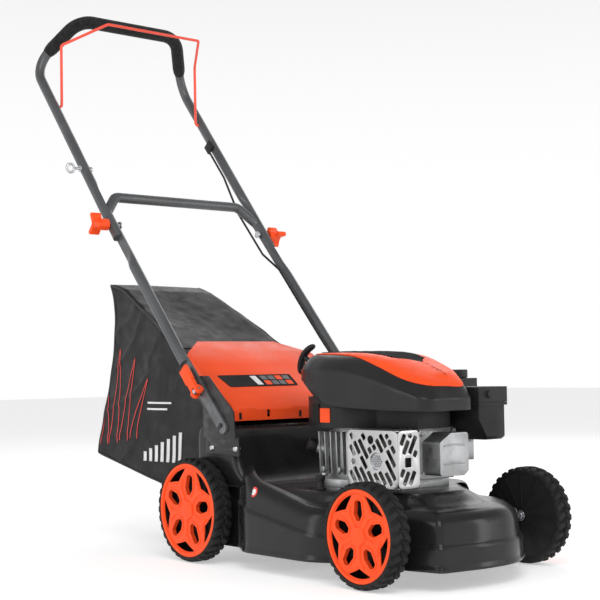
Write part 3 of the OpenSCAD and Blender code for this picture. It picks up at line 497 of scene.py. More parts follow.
# ---------------------------------------------------------------- handle
TUBE_R, WIRE_R, CABLE_R, FOAM_R = 11, 3.25, 2.5, 15.0
LOWER_BEND = np.array((0, 528, 391.0))
JOINT = np.array((0, 781, 678.0))
UPPER_BEND = np.array((0, 1112, 1079.0))
UPPER_X = -205
UPPER_CORNER = (-135, 1029, 1181)


def flat_side(plane):
    """Presses the tube flat near the joint, as the real tube is: what lies outside x = plane,
    or inside it if the plane is given as a negative number."""
    def shape(q, p):
        d = math.hypot(p[1] - JOINT[1], p[2] - JOINT[2])
        if d < 130 and abs(p[0]) > 190:
            s = 1 if p[0] > 0 else -1
            keep = min(1, max(0, (d - 92) / 30))
            x = abs(q[0])
            if plane > 0 and x > plane:
                x = plane + (x - plane) * keep
            if plane < 0 and x < -plane:
                x = -plane + (x + plane) * keep
            q = np.array((s * x, q[1], q[2]))
        return q
    return shape


def spread(line, step):
    """The line with points added, about a step apart."""
    out = [line[0]]
    for a, b in zip(line, line[1:]):
        n = max(1, int(np.linalg.norm(b - a) / step))
        out += [a + (b - a) * k / n for k in range(1, n + 1)]
    return out


def make_lower_handle():
    way = unit(JOINT - LOWER_BEND)
    start = LOWER_BEND - 14 * way
    top = JOINT + np.array((0, 24, 27))
    pts = mirrored([(-203, *start[1:]), (-203, *top[1:]), (-166, 831, 745)])
    line = spread(route(pts, 20, 10), 9)
    add("lower_tube", tube(line, TUBE_R, 28, shape=flat_side(202.9)), "graphite", "lower_handle",
        slot_of="lower_handle", smooth=50)


def make_hooks():
    """The flat ends of the lower handle: the CAD shape's own plates, cut from its mesh."""
    bm = bmesh.new()
    bm.from_mesh(frame["nodes"]["lower_handle"].data)
    bmesh.ops.remove_doubles(bm, verts=bm.verts, dist=2e-5)
    limit = P(0, 0, 405).z
    for f in list(bm.faces):
        if f.calc_center_median().z > limit:
            bm.faces.remove(f)
    bmesh.ops.delete(bm, geom=[v for v in bm.verts if not v.link_faces], context="VERTS")
    add("lower_hooks", bm, "graphite", "lower_handle", "lower_handle")


def make_upper_handle():
    end = (757, 649.0)
    pts = mirrored([(UPPER_X, *end), (UPPER_X, *UPPER_BEND[1:]), UPPER_CORNER])
    line = spread(route(pts, 60, 16), 9)
    add("upper_tube", tube(line, TUBE_R, 28, shape=flat_side(-203.4)), "graphite", "upper_handle",
        "upper_handle", smooth=50)


def make_grip():
    """Foam over the top bar and both slopes, thinner at its two ends."""
    bend = np.array((UPPER_X, *UPPER_BEND[1:]))
    end = bend + 42 * unit(np.array(UPPER_CORNER) - bend)
    line = spread(route(mirrored([end, UPPER_CORNER]), 60, 16), 8)
    radii = [FOAM_R] * len(line)
    for k, less in ((0, 3.4), (1, 0.9)):
        radii[k] -= less
        radii[-1 - k] -= less
    o = add("grip_foam", tube(line, radii, 28), "foam", "upper_handle", "foam_grip", smooth=60)


def make_bail():
    pts = mirrored([(-198, 1022, 970), (-186, 1022, 970), (-186, 1023, 1114), (-125, 920, 1151)])
    add("bail_wire", tube(spread(route(pts, 8, 8), 12), WIRE_R, 16), "bail", "bail", "bail", smooth=60)


def make_cable():
    """Control cable, held along the handle, in an upper and a lower length."""
    upper = [(184, 960, 892), (184, 905, 826), (184, 850, 733.6), (184, 759.3, 630.6), (184, 700, 592),
             (184, 630, 512)]
    lower = [(184, 630, 512), (184, 560, 433), (186, 520, 388), (184, 470, 350), (176, 420, 300),
             (150, 374, 272), (104, 326, 268), (76, 303, 266)]
    for name, pts, first, second, start, end in (
            ("cable_upper", upper, "lower_handle", "upper_handle", (184, 722, 606), (184, 840, 718)),
            ("cable_lower", lower, "deck", "lower_handle", (184, 425, 300), (184, 530, 398))):
        line = spread(route(pts, 30, 6), 9)
        o = add(name, tube(line, CABLE_R, 14), "cable", None, "control_cable", smooth=60)
        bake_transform(o)


def make_handle():
    make_lower_handle()
    make_upper_handle()
    make_hooks()
    make_grip()
    make_bail()
    make_cable()


# ---------------------------------------------------------------- grass bag
# the bag's side view as (y, z) corners, from the lower front corner round by the back
SIDE = [(507, 96), (935, 187), (930, 563), (876, 548), (622, 411), (575, 388), (507, 333)]


def half_width(z):
    """The bag is widest up to 300 mm and narrows above."""
    return 158 if z < 300 else 158 - 34 * (z - 300) / 270


PRINT_LIFT = 0.0007


def strip_on(tree, s, pts, wide):
    """A flat printed line, wide mm across, laid on the bag's side s through (y, z) points."""
    bm = bmesh.new()
    pts = spread([np.array(p, float) for p in pts], 5)
    pairs = []
    for i, p in enumerate(pts):
        way = unit(pts[min(i + 1, len(pts) - 1)] - pts[max(i - 1, 0)])
        across = np.array((-way[1], way[0])) * wide / 2
        pair = []
        for q in (p - across, p + across):
            hit = tree.ray_cast(P(s * 300, *q), Vector((-s, 0, 0)))[0]
            if hit is None:
                break
            pair.append(bm.verts.new(hit + Vector((s * PRINT_LIFT, 0, 0))))
        if len(pair) == 2:
            pairs.append(pair)
    for a, b in zip(pairs, pairs[1:]):
        bm.faces.new((a[0], a[1], b[1], b[0]))
    return bm


def bag_print(tree):
    """A plain graphic: outlined grass blades in red and rising fill bars in white, with no lettering."""
    blades = ((905, -28, 150, 30), (868, -10, 205, 34), (826, 18, 178, 32), (786, 42, 128, 28))
    red, white = [], []
    for s in (-1, 1):
        for y0, lean, tall, wide in blades:
            z0 = 196 + (y0 - 905) * -0.13
            edge = []
            for t in np.linspace(0, 1, 14):
                bow = wide * (1 - t) ** 0.8 * 0.5
                edge.append((y0 - lean * t ** 1.8 - bow, z0 + 12 + tall * t))
            for t in np.linspace(1, 0, 14)[1:]:
                bow = wide * (1 - t) ** 0.8 * 0.5
                edge.append((y0 - lean * t ** 1.8 + bow, z0 + 12 + tall * t))
            red.append(strip_on(tree, s, edge, 2.2))
        for k in range(7):
            y = 742 - 21 * k
            z = 178 + 0.1 * k
            white.append(strip_on(tree, s, [(y, z), (y, z + 20 + 7 * k)], 11))
        for k in range(2):
            white.append(strip_on(tree, s, [(742, 300 - 13 * k), (652 + 14 * k, 300 - 13 * k)], 4))
    for name, parts, material in (("bag_print_blades", red, "red"), ("bag_print_bars", white, "white")):
        o = add(name, join_bm(parts), material, "grass_bag", slot_of="grass_bag", smooth=60)
        thicken(o, 0.3, offset=1)


def bag_block():
    """The bag's plain form in mm, remeshed to a fine even skin with softened corners."""
    bm = bmesh.new()
    left, right = [], []
    for s, ring in ((-1, left), (1, right)):
        for y, z in SIDE:
            ring.append(bm.verts.new((s * (half_width(z) - 3), y, z)))
    bridge(bm, left, right)
    bm.faces.new(list(reversed(left)))
    bm.faces.new(right)
    settle(bm)
    me = bpy.data.meshes.new("bag_raw")
    bm.to_mesh(me)
    bm.free()
    raw = put("bag_raw", me)
    remesh = raw.modifiers.new("remesh", "REMESH")
    remesh.mode = "VOXEL"
    remesh.voxel_size = 5.0
    raw.modifiers.new("smooth", "SMOOTH").iterations = 3
    return taken_mesh(raw)


def fold(x, y, z, nx):
    """How far the cloth stands out at a point, in mm: broad swells, finer folds and ridges on the sides."""
    a = noise.noise(Vector((x * 0.004, y * 0.009, z * 0.004)) + Vector((3, 1, 7)))
    b = noise.noise(Vector((x * 0.012, y * 0.010 + z * 0.004, z * 0.016 - y * 0.01)) + Vector((9, 5, 2)))
    d = 2.6 * a + 1.5 * b + 0.5 * noise.noise(Vector((x, y, z)) * 0.03)
    if abs(nx) > 0.7:
        ridge = 1 - abs(noise.noise(Vector((y * 0.006 + z * 0.012, z * 0.004 - y * 0.003, 4.2))))
        d += 3.2 * (ridge ** 6 - 0.4)
    if y < 514:
        d *= 0.1
    return max(-5.0, min(2.4, d))


def sag(x, y, z):
    """The free panels hang in between the corners: the back, the sides near it and the roof."""
    back = max(0, min(1, (y - 700) / 230))
    dip = math.sin(math.pi * max(0, min(1, (563 - z) / 376)) ** 0.62)
    roof = max(0, min(1, (z - 330) / 90)) if y > 622 else 0
    hollow = 9 * math.sin(math.pi * min(1, (y - 622) / 254)) * max(0, 1 - (x / 120) ** 2)
    return x * (1 - 0.085 * dip * back), y - 24 * dip * back ** 2, z - roof * hollow


def bag_piping(tree):
    """Piping along the side seams and over the roof's fold, laid on the cloth."""
    for s in (-1, 1):
        pts = [(s * (half_width(z) - 1.6), y, z) for y, z in SIDE[1:6]]
        pts = [(s * 156.4, 512, 97.5)] + pts + [(s * 154.5, 512, 336)]
        laid = []
        for q in spread(route(pts, 8, 4), 12):
            on = tree.find_nearest(P(*q))[0]
            laid.append(np.array((on.x, on.y - FRONT_Y, on.z)) * 1000 + (s * 0.8, 0, 0))
        for _ in range(2):
            even = [(a + 2 * b + c) / 4 for a, b, c in zip(laid, laid[1:], laid[2:])]
            laid = [laid[0]] + even + [laid[-1]]
        add("bag_piping_" + ("right" if s < 0 else "left"), tube(laid, 2.3, 10), "piping", "grass_bag",
            slot_of="grass_bag", smooth=60)
    end = half_width(411) - 1
    pts = [np.array((x, 622, 412.5)) for x in (-end, end)]
    add("bag_seam_top", tube(spread(pts, 12), 1.8, 10), "piping", "grass_bag", slot_of="grass_bag", smooth=60)


def make_bag():
    skin = bag_block()
    n = len(skin.vertices)
    co, nr = np.zeros(n * 3), np.zeros(n * 3)
    skin.vertices.foreach_get("co", co)
    skin.vertices.foreach_get("normal", nr)
    co, nr = co.reshape(-1, 3), nr.reshape(-1, 3)
    for i in range(n):
        co[i] = sag(*(co[i] + nr[i] * fold(*co[i], nr[i][0])))
    co[:, 1] = np.maximum(co[:, 1], 505.6)
    skin.vertices.foreach_set("co", co.reshape(-1))
    bm = bmesh.new()
    bm.from_mesh(skin)
    # the mouth, open to the deck
    mouth = []
    for f in bm.faces:
        c = f.calc_center_median()
        if c.y < 509.5 and abs(c.x) < 145 and 132 < c.z < 300:
            mouth.append(f)
    bmesh.ops.delete(bm, geom=mouth, context="FACES")
    for v in bm.verts:
        v.co = P(*v.co)
    o = add("bag_cloth", bm, "bag", "grass_bag", "grass_bag", smooth=0)
    cloth = o.data
    thicken(o, 1.2)
    tree = BVHTree.FromPolygons([v.co[:] for v in cloth.vertices], [p.vertices[:] for p in cloth.polygons])
    bag_print(tree)
    bag_piping(tree)


# ---------------------------------------------------------------- wheel covers
def flat_shape(name, outline, holes, z0, z1, bevel, place):
    """A plate with rounded edges, from an outline and holes in mm, placed by a function of (u, v, z)."""
    cu = bpy.data.curves.new(name, "CURVE")
    cu.dimensions = "2D"
    cu.fill_mode = "BOTH"
    cu.resolution_u = 1
    for ring in [outline] + holes:
        sp = cu.splines.new("POLY")
        sp.points.add(len(ring) - 1)
        for p, (u, v) in zip(sp.points, ring):
            p.co = (u, v, 0, 1)
        sp.use_cyclic_u = True
    cu.extrude = max(0.01, (z1 - z0) / 2 - bevel)
    cu.bevel_depth = bevel
    cu.bevel_resolution = 2
    cu.offset = -bevel
    bm = bmesh.new()
    bm.from_mesh(taken_mesh(put(name, cu)))
    bmesh.ops.remove_doubles(bm, verts=bm.verts, dist=1e-4)
    for v in bm.verts:
        v.co = place(v.co.x, v.co.y, v.co.z + (z0 + z1) / 2)
    bmesh.ops.recalc_face_normals(bm, faces=bm.faces)
    return bm


def soft_ring(pts, r, n=5):
    """Closed outline with rounded corners; a third number at a point is its own radius."""
    out = []
    m = len(pts)
    for i in range(m):
        own = pts[i][2] if len(pts[i]) > 2 else r
        a, b, c = (np.array(pts[k % m][:2], float) for k in (i - 1, i, i + 1))
        u, v = unit(a - b), unit(c - b)
        half = math.acos(max(-1, min(1, float(u @ v)))) / 2
        reach = min(own / math.tan(half), np.linalg.norm(a - b) * 0.48, np.linalg.norm(c - b) * 0.48)
        s, e = b + u * reach, b + v * reach
        for k in range(n + 1):
            t = k / n
            out.append(tuple((1 - t) ** 2 * s + 2 * t * (1 - t) * b + t * t * e))
    return out


def circle(r, n=96, u0=0.0, v0=0.0):
    steps = [2 * math.pi * k / n for k in range(n)]
    return [(u0 + r * math.cos(t), v0 + r * math.sin(t)) for t in steps]


def turned(pts, deg):
    c, s = math.cos(math.radians(deg)), math.sin(math.radians(deg))
    return [(u * c - v * s, u * s + v * c) for u, v in pts]


def join_bm(parts):
    out = bmesh.new()
    for bm in parts:
        me = bpy.data.meshes.new("part")
        bm.to_mesh(me)
        bm.free()
        out.from_mesh(me)
        bpy.data.meshes.remove(me)
    return out


def wheel_cover(node, side, turn):
    """Orange cover: rim band, five long windows, five curved slots, and raised ribs between them."""
    lo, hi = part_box(node)
    c = (lo + hi) / 2
    R = (hi.z - lo.z) / 2 * 1000
    face = lo.x if side < 0 else hi.x

    def place(u, v, z):
        return Vector((face - side * (6 - z) / 1000, c.y + u / 1000, c.z + v / 1000))

    def ring(half, tip, corner, n=5):
        """Outline in shares of the cover's radius: its right half, then its tip, then the left half."""
        pts = half + tip + [(-u, v) for u, v in reversed(half)]
        return soft_ring([(u * R, v * R) for u, v in pts], corner * R, n)

    window = ring([(0.055, 0.33), (0.135, 0.47), (0.10, 0.73)], [(0, 0.775)], 0.035)
    collar = ring([(0.085, 0.29), (0.18, 0.46), (0.14, 0.76)], [(0, 0.815)], 0.05)
    arm = ring([(0.05, 0.16), (0.05, 0.50), (0.17, 0.655), (0.13, 0.69)], [(0, 0.625)], 0.02, 3)
    band = []
    for a in range(-23, 24, 2):
        t = math.radians(a)
        band.append((0.885 * R * math.sin(t), 0.885 * R * math.cos(t)))
    slot = soft_ring(band + [(0.13 * R, 0.735 * R), (0, 0.675 * R), (-0.13 * R, 0.735 * R)], 0.025 * R)
    windows = [turned(window, 72 * k + turn) for k in range(5)]
    slots = [turned(slot, 72 * k + 36 + turn) for k in range(5)]
    parts = [flat_shape("plate", circle(R * 0.97), windows + slots, 0.4, 3.2, 0.5, place),
             flat_shape("band", circle(R - 0.2), [circle(R * 0.915)], 0.2, 5.4, 0.8, place)]
    # a five-sided hub, with an arm to each curved slot and a collar round each window
    corners = [math.radians(72 * k + 36) for k in range(5)]
    hub = turned([(0.24 * R * math.sin(t), 0.24 * R * math.cos(t)) for t in corners], turn)
    parts.append(flat_shape("hub", soft_ring(hub, 0.05 * R), [], 2.6, 5.6, 0.7, place))
    for k in range(5):
        parts.append(flat_shape("arm", turned(arm, 72 * k + 36 + turn), [], 2.6, 4.5, 0.5, place))
        parts.append(flat_shape("collar", turned(collar, 72 * k + turn), [windows[k]], -5.0, 4.3, 0.5, place))
    add(node + "_moulded", join_bm(parts), "orange", BODY_OF[node], node, smooth=40)


# ---------------------------------------------------------------- engine cover
# Spokes round the cover, in mm: bottom edge, crease and rim of the top; then how far up the side the
# insert starts.
COVER = [
    ((-35, -34, 290), (-35, -33, 313), (-24, -4, 345), 0.5),
    ((-90, -31, 290), (-89, -30, 313), (-49, 6, 351), 0.48),
    ((-104, 20, 291), (-103, 22, 328), (-62, 36, 362), 0.42),
    ((-112, 90, 293), (-110, 92, 349), (-70, 84, 380), 0.52),
    ((-119, 165, 297), (-116, 160, 363), (-75, 135, 390), 0.72),
    ((-121, 205, 303), (-118, 205, 366), (-77, 192, 393), 0.86),
    ((-119, 236, 320), (-114, 240, 367), (-76, 240, 393.5), 0.93),
    ((-110, 270, 341), (-105, 273, 366), (-68, 280, 393), 1.0),
    ((-76, 310, 344), (-74, 311, 364), (-44, 303, 392), 1.05),
    ((0, 333, 330), (0, 332, 362), (-8, 312, 391), 1.05),
    ((80, 304, 300), (78, 303, 360), (36, 300, 391), 1.05),
    ((118, 240, 292), (114, 239, 356), (54, 250, 391), 1.0),
    ((120, 190, 290), (116, 188, 352), (56, 184, 391), 1.0),
    ((104, 140, 290), (99, 138, 347), (54, 124, 388), 1.0),
    ((66, 90, 290), (64, 88, 341), (42, 70, 376), 1.0),
    ((40, 20, 290), (38, 20, 326), (31, 18, 357), 0.95),
    ((26, -28, 290), (25, -27, 313), (12, -1, 346), 0.5),
]
COVER_X, COVER_Y = -10.0, 150


def closed_spline(pts, sub):
    """Catmull-Rom through a closed list of points."""
    pts = [np.array(p, float) for p in pts]
    n = len(pts)
    out = []
    for i in range(n):
        p0, p1, p2, p3 = pts[i - 1], pts[i], pts[(i + 1) % n], pts[(i + 2) % n]
        for k in range(sub):
            t = k / sub
            out.append(0.5 * ((2 * p1) + (p2 - p0) * t + (2 * p0 - 5 * p1 + 4 * p2 - p3) * t * t
                              + (3 * p1 - p0 - 3 * p2 + p3) * t ** 3))
    return out


def top_height(y):
    return float(np.interp(y, [-16, 4, 36, 72, 110, 150, 200, 300, 315],
                           [340, 353, 366, 378, 387, 392, 394.5, 393, 391]))


def loop_skin(rows):
    """Bmesh from closed rows of mm points."""
    bm = bmesh.new()
    vs = [[bm.verts.new(P(*p)) for p in r] for r in rows]
    for a, b in zip(vs, vs[1:]):
        bridge(bm, a, b)
    bmesh.ops.remove_doubles(bm, verts=bm.verts, dist=2e-4)
    bmesh.ops.recalc_face_normals(bm, faces=bm.faces)
    return bm


def make_cover():
    sub = 8
    bottom, crease, rim = (closed_spline([s[i] for s in COVER], sub) for i in range(3))
    start = [float(q[0]) for q in closed_spline([(s[3], 0, 0) for s in COVER], sub)]
    n = len(bottom)

    def out_way(p):
        return unit(np.array((p[0] - COVER_X, p[1] - COVER_Y, 0)) / np.array((115, 190, 1)))

    def surface_at(i, u, lift=0.0):
        """u 0 to 1 runs from the crease to the rim, 1 to 2 from the rim to the middle line."""
        if u <= 1:
            bulge = math.sin(math.pi * u)
            out = out_way(crease[i])
            p = crease[i] * (1 - u) + rim[i] * u + out * 2.2 * bulge + (0, 0, 3.8 * bulge)
            way = unit(out * 0.55 + (0, 0, 1.0))
        else:
            s = u - 1
            top = top_height(rim[i][1])
            x = rim[i][0] + (COVER_X - rim[i][0]) * s
            p = np.array((x, rim[i][1], rim[i][2] + (top + 1.5 - rim[i][2]) * min(1, 1.6 * s)))
            way = np.array((0, 0, 1.0))
        return p + way * lift

    rows = [[bottom[i] - out_way(bottom[i]) * 3.0 + (0, 0, 2) for i in range(n)],
            [bottom[i] - out_way(bottom[i]) * 0.8 + (0, 0, 0.1) for i in range(n)],
            [bottom[i] + (0, 0, 1.2) for i in range(n)]]
    for t in (0.2, 0.5, 0.8, 0.94):
        rows.append([bottom[i] * (1 - t) + crease[i] * t + out_way(crease[i]) * 1.6 * t * t
                     for i in range(n)])
    for u in (0.03, 0.12, 0.3, 0.5, 0.7, 0.88, 1.0, 1.15, 1.4, 1.7, 2.0):
        rows.append([surface_at(i, u) for i in range(n)])
    o = add("cover_shell", loop_skin(rows), "shroud", "deck", "engine_shroud", smooth=50)
    thicken(o, 2.2)

    # the insert runs from start to the grille's edge, in steps of the way between them
    edge_at = ([50, 88, 160, 240, 290, 308], [2.08, 1.3, 1.18, 1.1, 1.12, 1.5])
    grille = [float(np.interp(rim[i][1], *edge_at)) for i in range(n)]
    rows = [[surface_at(i, start[i] + more, lift) for i in range(n)]
            for more, lift in ((0, -1.2), (0, 1.0), (0.03, 1.8))]
    for t in (0.25, 0.5, 0.75, 1.0):
        rows.append([surface_at(i, start[i] + 0.03 + (grille[i] - start[i] - 0.03) * t, 1.8)
                     for i in range(n)])
    rows.append([surface_at(i, grille[i], -1.0) for i in range(n)])
    add("insert_panel", loop_skin(rows), "orange", "deck", "shroud_insert", smooth=40)
    # the dark panel under the ribs is painted shade, standing in for the gaps between them
    rows = [[surface_at(i, u, 0.4) for i in range(n)] for u in (1.12, 1.5, 2.0)]
    add("grille_panel_painted_shade", loop_skin(rows), "dark", "deck", "intake_grille", smooth=40)
    make_grille_ribs()


RIB_PITCH, RIB_COUNT = 7.6, 27


def make_grille_ribs():
    """Cross ribs over the grille, with three bars along it."""
    ribs = []
    for k in range(RIB_COUNT):
        y = 78 + k * RIB_PITCH
        near = float(np.interp(y, [72, 90, 130, 165, 230, 262, 284], [-30, -50, -60, -65, -69, -66, -52]))
        far = float(np.interp(y, [72, 90, 130, 230, 262, 284], [10, 24, 38, 44, 40, 26]))
        bm = bmesh.new()
        sect = []
        for t in range(7):
            x = near + (far - near) * t / 6
            h = top_height(y) + 1.0
            sect.append([bm.verts.new(P(x, y + dy, h + up)) for dy, up in
                         ((-2.1, -1.5), (-1.3, 2.6), (1.3, 2.6), (2.1, -1.5))])
        for a, b in zip(sect, sect[1:]):
            for i in range(3):
                bm.faces.new((a[i], a[i + 1], b[i + 1], b[i]))
        bm.faces.new(sect[0])
        bm.faces.new(sect[-1])
        bmesh.ops.recalc_face_normals(bm, faces=bm.faces)
        ribs.append(bm)
    for x in (-42, -12, 20):
        line = [(x, y, top_height(y) + 2.4) for y in range(80, 276, 12)]
        ribs.append(tube(line, 1.6, 8))
    add("grille_ribs", join_bm(ribs), "black", "deck", slot_of="intake_grille", smooth=30)


# ---------------------------------------------------------------- deck
def plan(d, nose):
    """The deck's outline, drawn in by d all round and by nose more at the front, as in the CAD model."""
    return soft_ring([(-178 + d, 505 - d * 0.2, 12), (-178 + d, 385, 16), (-214 + d, 325, 70),
                      (-214 + d, 130, 110), (-165 + d, 72, 14), (-165 + d, -50 + d + nose, 70),
                      (-148 + d, -118 + d + nose, 13), (-60, -133 + d + nose, 200),
                      (25, -131 + d + nose, 160),
                      (95 - d, -84 + d + nose, 70), (152 - d, -24 + d + nose, 60), (152 - d, 60, 14),
                      (172 - d, 80, 14), (214 - d, 130, 90), (214 - d, 325, 70), (178 - d, 385, 16),
                      (178 - d, 505 - d * 0.2, 12)], 17, 8)


def ridge_z(y):
    """Height of the ridge where the skirt turns in to the top."""
    return float(np.interp(y, [-133, 60, 140, 188, 286, 345, 400, 505],
                           [131, 128, 126, 129, 152, 180, 192, 196]))


def crease_z(y):
    """Height of the crease along the skirt."""
    return float(np.interp(y, [-133, 60, 124, 160, 300, 342, 505], [72, 72, 77, 82, 105, 117, 120]))


DECK_TOP_Z, SHEET_MM = 150.0, 2


def make_deck():
    """Pressed steel deck: rolled lower edge, raised band along the skirt, ridge that climbs to the rear."""
    def between(f, g, t):
        return lambda y: f(y) * (1 - t) + g(y) * t

    # each level: its height as a function of y, how far it is drawn in, and how much more at the nose
    levels = []
    for z, d in ((34, 2.5), (32.4, 1.0), (32, -0.5), (34, -1.2), (37, -0.8), (40, 0.8), (46, 1.2)):
        levels.append((lambda y, z=z: z, d, 0))
    for up, d, nose in ((-5, 0.2, 1), (-1, 0.6, 1), (2.5, 3.4, 1.5), (7, 4.6, 2)):
        levels.append((lambda y, up=up: crease_z(y) + up, d, nose))
    for down, d, nose in ((27, 5.6, 3), (20, 7.2, 4), (14, 9.6, 5), (9, 13, 7), (5, 17, 9), (2, 22, 12),
                          (0.3, 28, 17)):
        levels.append((lambda y, down=down: max(crease_z(y) + 9 + (27 - down) * 0.2, ridge_z(y) - down),
                       d, nose))
    for t in (0.0, 0.2, 0.4, 0.6, 0.8, 0.93, 1.0):
        smooth = t * t * (3 - 2 * t)
        levels.append((between(ridge_z, lambda y: DECK_TOP_Z, smooth), 33 + 16 * t, 22 + 46 * t))
    rows = [[(x, y, zf(y)) for x, y in plan(d, nose)] for zf, d, nose in levels]
    bm = loop_skin(rows)
    cap(bm, 140)
    settle(bm)
    o = add("deck_skin", bm, "deck", "deck", "deck_shell", smooth=60)
    thicken(o, SHEET_MM)


def make_chute():
    """Chute to the bag, spreading out of the deck in a hollow curve."""
    rows = []
    for z, y0, hw in ((146, 322, 183), (151, 338, 184), (158, 352, 186), (168, 363, 188), (182, 372, 189),
                      (200, 379, 190), (220, 386, 190), (238, 394, 190), (248, 401, 188), (255, 409, 184),
                      (259, 419, 178), (260, 432, 168)):
        rows.append([(x, y, z) for x, y in soft_ring([(-hw, 505), (-hw, y0), (hw, y0), (hw, 505)], 18, 6)])
    bm = loop_skin(rows)
    cap(bm, 250)
    rear = P(0, 504.5, 0).y
    bmesh.ops.delete(bm, geom=[f for f in bm.faces if all(v.co.y > rear for v in f.verts)], context="FACES")
    settle(bm)
    o = add("deck_chute", bm, "deck", "deck", slot_of="deck_shell", smooth=50)
    thicken(o, SHEET_MM)


# ---------------------------------------------------------------- muffler guard
SLOT_PITCH, SLOT_HALF = 12.6, 4.4


def make_guard():
    """Pressed guard with slanting slots, an outlet hole with a perforated screen, and a folded edge."""
    (x0, y0, z0), (x1, y1, z1) = mm_box("muffler_guard")
    muffler_lo, muffler_hi = mm_box("muffler")
    cy, cz = (muffler_lo + muffler_hi)[1:] / 2 - (10, 6)

    def slots(w0, w1, h0, h1, lean, keep_out):
        """Slanting slots that fill the plate, broken up along their length and clear of the round holes."""
        out = []
        c, s = math.cos(math.radians(lean)), math.sin(math.radians(lean))
        mid = ((w0 + w1) / 2, (h0 + h1) / 2)

        def free(run, off):
            a, b = mid[0] + run * c - off * s, mid[1] + run * s + off * c
            corner = math.hypot(max(0, abs(a - mid[0]) - (w1 - w0) / 2 + 14),
                                max(0, abs(b - mid[1]) - (h1 - h0) / 2 + 14)) < 10
            return corner and all(math.hypot(a - kx, b - ky) > kr + 3.5 for kx, ky, kr in keep_out)

        for row in range(-10, 11):
            off = row * SLOT_PITCH + 3
            run, first = -100, None
            longest = (34, 26, 40)[row % 3]
            while run < 100:
                ok = free(run, off - SLOT_HALF) and free(run, off + SLOT_HALF)
                if ok and first is None:
                    first = run
                if first is not None and (not ok or run - first >= longest):
                    if run - first > 7:
                        pts = [(u, off + v) for u, v in ((first, -SLOT_HALF), (run - 1, -SLOT_HALF),
                                                         (run - 1, SLOT_HALF), (first, SLOT_HALF))]
                        pts = [(mid[0] + u * c - v * s, mid[1] + u * s + v * c) for u, v in pts]
                        out.append(soft_ring(pts, 2.6, 3))
                    first = None
                    run += 4
                run += 1
        return out

    def frame_ring(a0, a1, b0, b1, corner, n):
        return soft_ring([(a0, b0), (a1, b0), (a1, b1), (a0, b1)], corner, n)

    round_holes = [(cy, cz, 15), ((y0 + y1) / 2 + 4, z1 - 17, 7.5), (y1 - 16, (z0 + z1) / 2 - 6, 5),
                   (y0 + 20, z1 - 20, 5)]
    face = frame_ring(y0 + 1, y1, z0, z1, 14, 8)
    holes = [circle(r, 40, a, b) for a, b, r in round_holes]
    parts = [flat_shape("face", face, holes + slots(y0, y1, z0, z1, 56, round_holes), 0, 2.2, 0.6,
                        lambda u, v, z: P(x0 + 2.2 - z, u, v))]
    side = frame_ring(x0 + 1, x1, z0, z1, 12, 8)
    mx = (x0 + x1) / 2 - 1
    square = frame_ring(mx - 8, mx + 7, cz - 9, cz + 7, 1.5, 2)
    keep = [(mx, cz - 1, 11)]
    parts.append(flat_shape("front", side, [square] + slots(x0, x1, z0, z1, 62, keep), 0, 2.0, 0.6,
                            lambda u, v, z: P(u, y0 + 2.0 - z, v)))
    # rounded upright corner and the folded rims
    parts.append(tube([(x0 + 4, y0 + 4, z0 + 8), (x0 + 4, y0 + 4, z1 - 8)], 4.0, 20))
    rim = [(x0 + 3, a, b) for a, b in frame_ring(y0 + 3, y1 - 3, z0 + 3, z1 - 3, 12, 8)]
    parts.append(tube(rim, 3.0, 12, closed=True))
    rim = [(a, y0 + 3, b) for a, b in frame_ring(x0 + 3, x1 - 3, z0 + 3, z1 - 3, 10, 8)]
    parts.append(tube(rim, 2.6, 12, closed=True))
    for zz, s in ((z0, 1), (z1, -1)):
        top = frame_ring(x0 + 2, x1, y0 + 2, y1 - 2, 6, 5)
        parts.append(flat_shape("lid", top, [], 0, 1.6, 0.4, lambda u, v, z, zz=zz, s=s: P(u, v, zz + s * z)))
    add("guard_sheet", join_bm(parts), "guard", "deck", "muffler_guard")
    # screen over the outlet: a disc with rows of small holes, in a wire ring
    dots = []
    for a in range(-5, 5):
        for b in range(-4, 5):
            u, v = 3.6 * a + (1.8 if b % 2 else 0), 3.1 * b
            if math.hypot(u, v) < 12.4:
                dots.append(circle(1.3, 8, cy + u, cz + v))
    screen = flat_shape("screen", circle(15.5, 40, cy, cz), dots, 0, 0.9, 0.15,
                        lambda u, v, z: P(x0 + 4.2 - z, u, v))
    ring = [(x0 + 3.2, u, v) for u, v in circle(15.5, 40, cy, cz)]
    add("outlet_screen", join_bm([screen, tube(ring, 2.0, 10, closed=True)]), "zinc", "deck",
        slot_of="muffler_guard")


# ---------------------------------------------------------------- stickers and rope
def inside(corners, u, v):
    """The point at shares u and v of the way across four corners."""
    c = [np.array(p, float) for p in corners]
    return c[0] * (1 - u) * (1 - v) + c[1] * u * (1 - v) + c[2] * u * v + c[3] * (1 - u) * v


def part_of(corners, u0, u1, v0, v1):
    return [inside(corners, u, v) for u, v in ((u0, v0), (u1, v0), (u1, v1), (u0, v1))]


def patch(name, corners, finish, node, lift=0.5, thick=0.4):
    """A thin flat sticker over four mm corners of a node, with its thickness away from the surface."""
    c = [np.array(p, float) for p in corners]
    way = unit(np.cross(c[1] - c[0], c[3] - c[0]))
    flat = soft_ring([(0, 0), (1, 0), (1, 1), (0, 1)], 0.06, 4)
    bm = bmesh.new()
    low, high = ([bm.verts.new(P(*(inside(c, u, v) + way * up))) for u, v in flat]
                 for up in (lift - 0.4, lift + thick))
    bridge(bm, low, high)
    bm.faces.new(high)
    bm.faces.new(list(reversed(low)))
    bmesh.ops.recalc_face_normals(bm, faces=bm.faces)
    add(name, bm, finish, BODY_OF[node], slot_of=node, smooth=30)


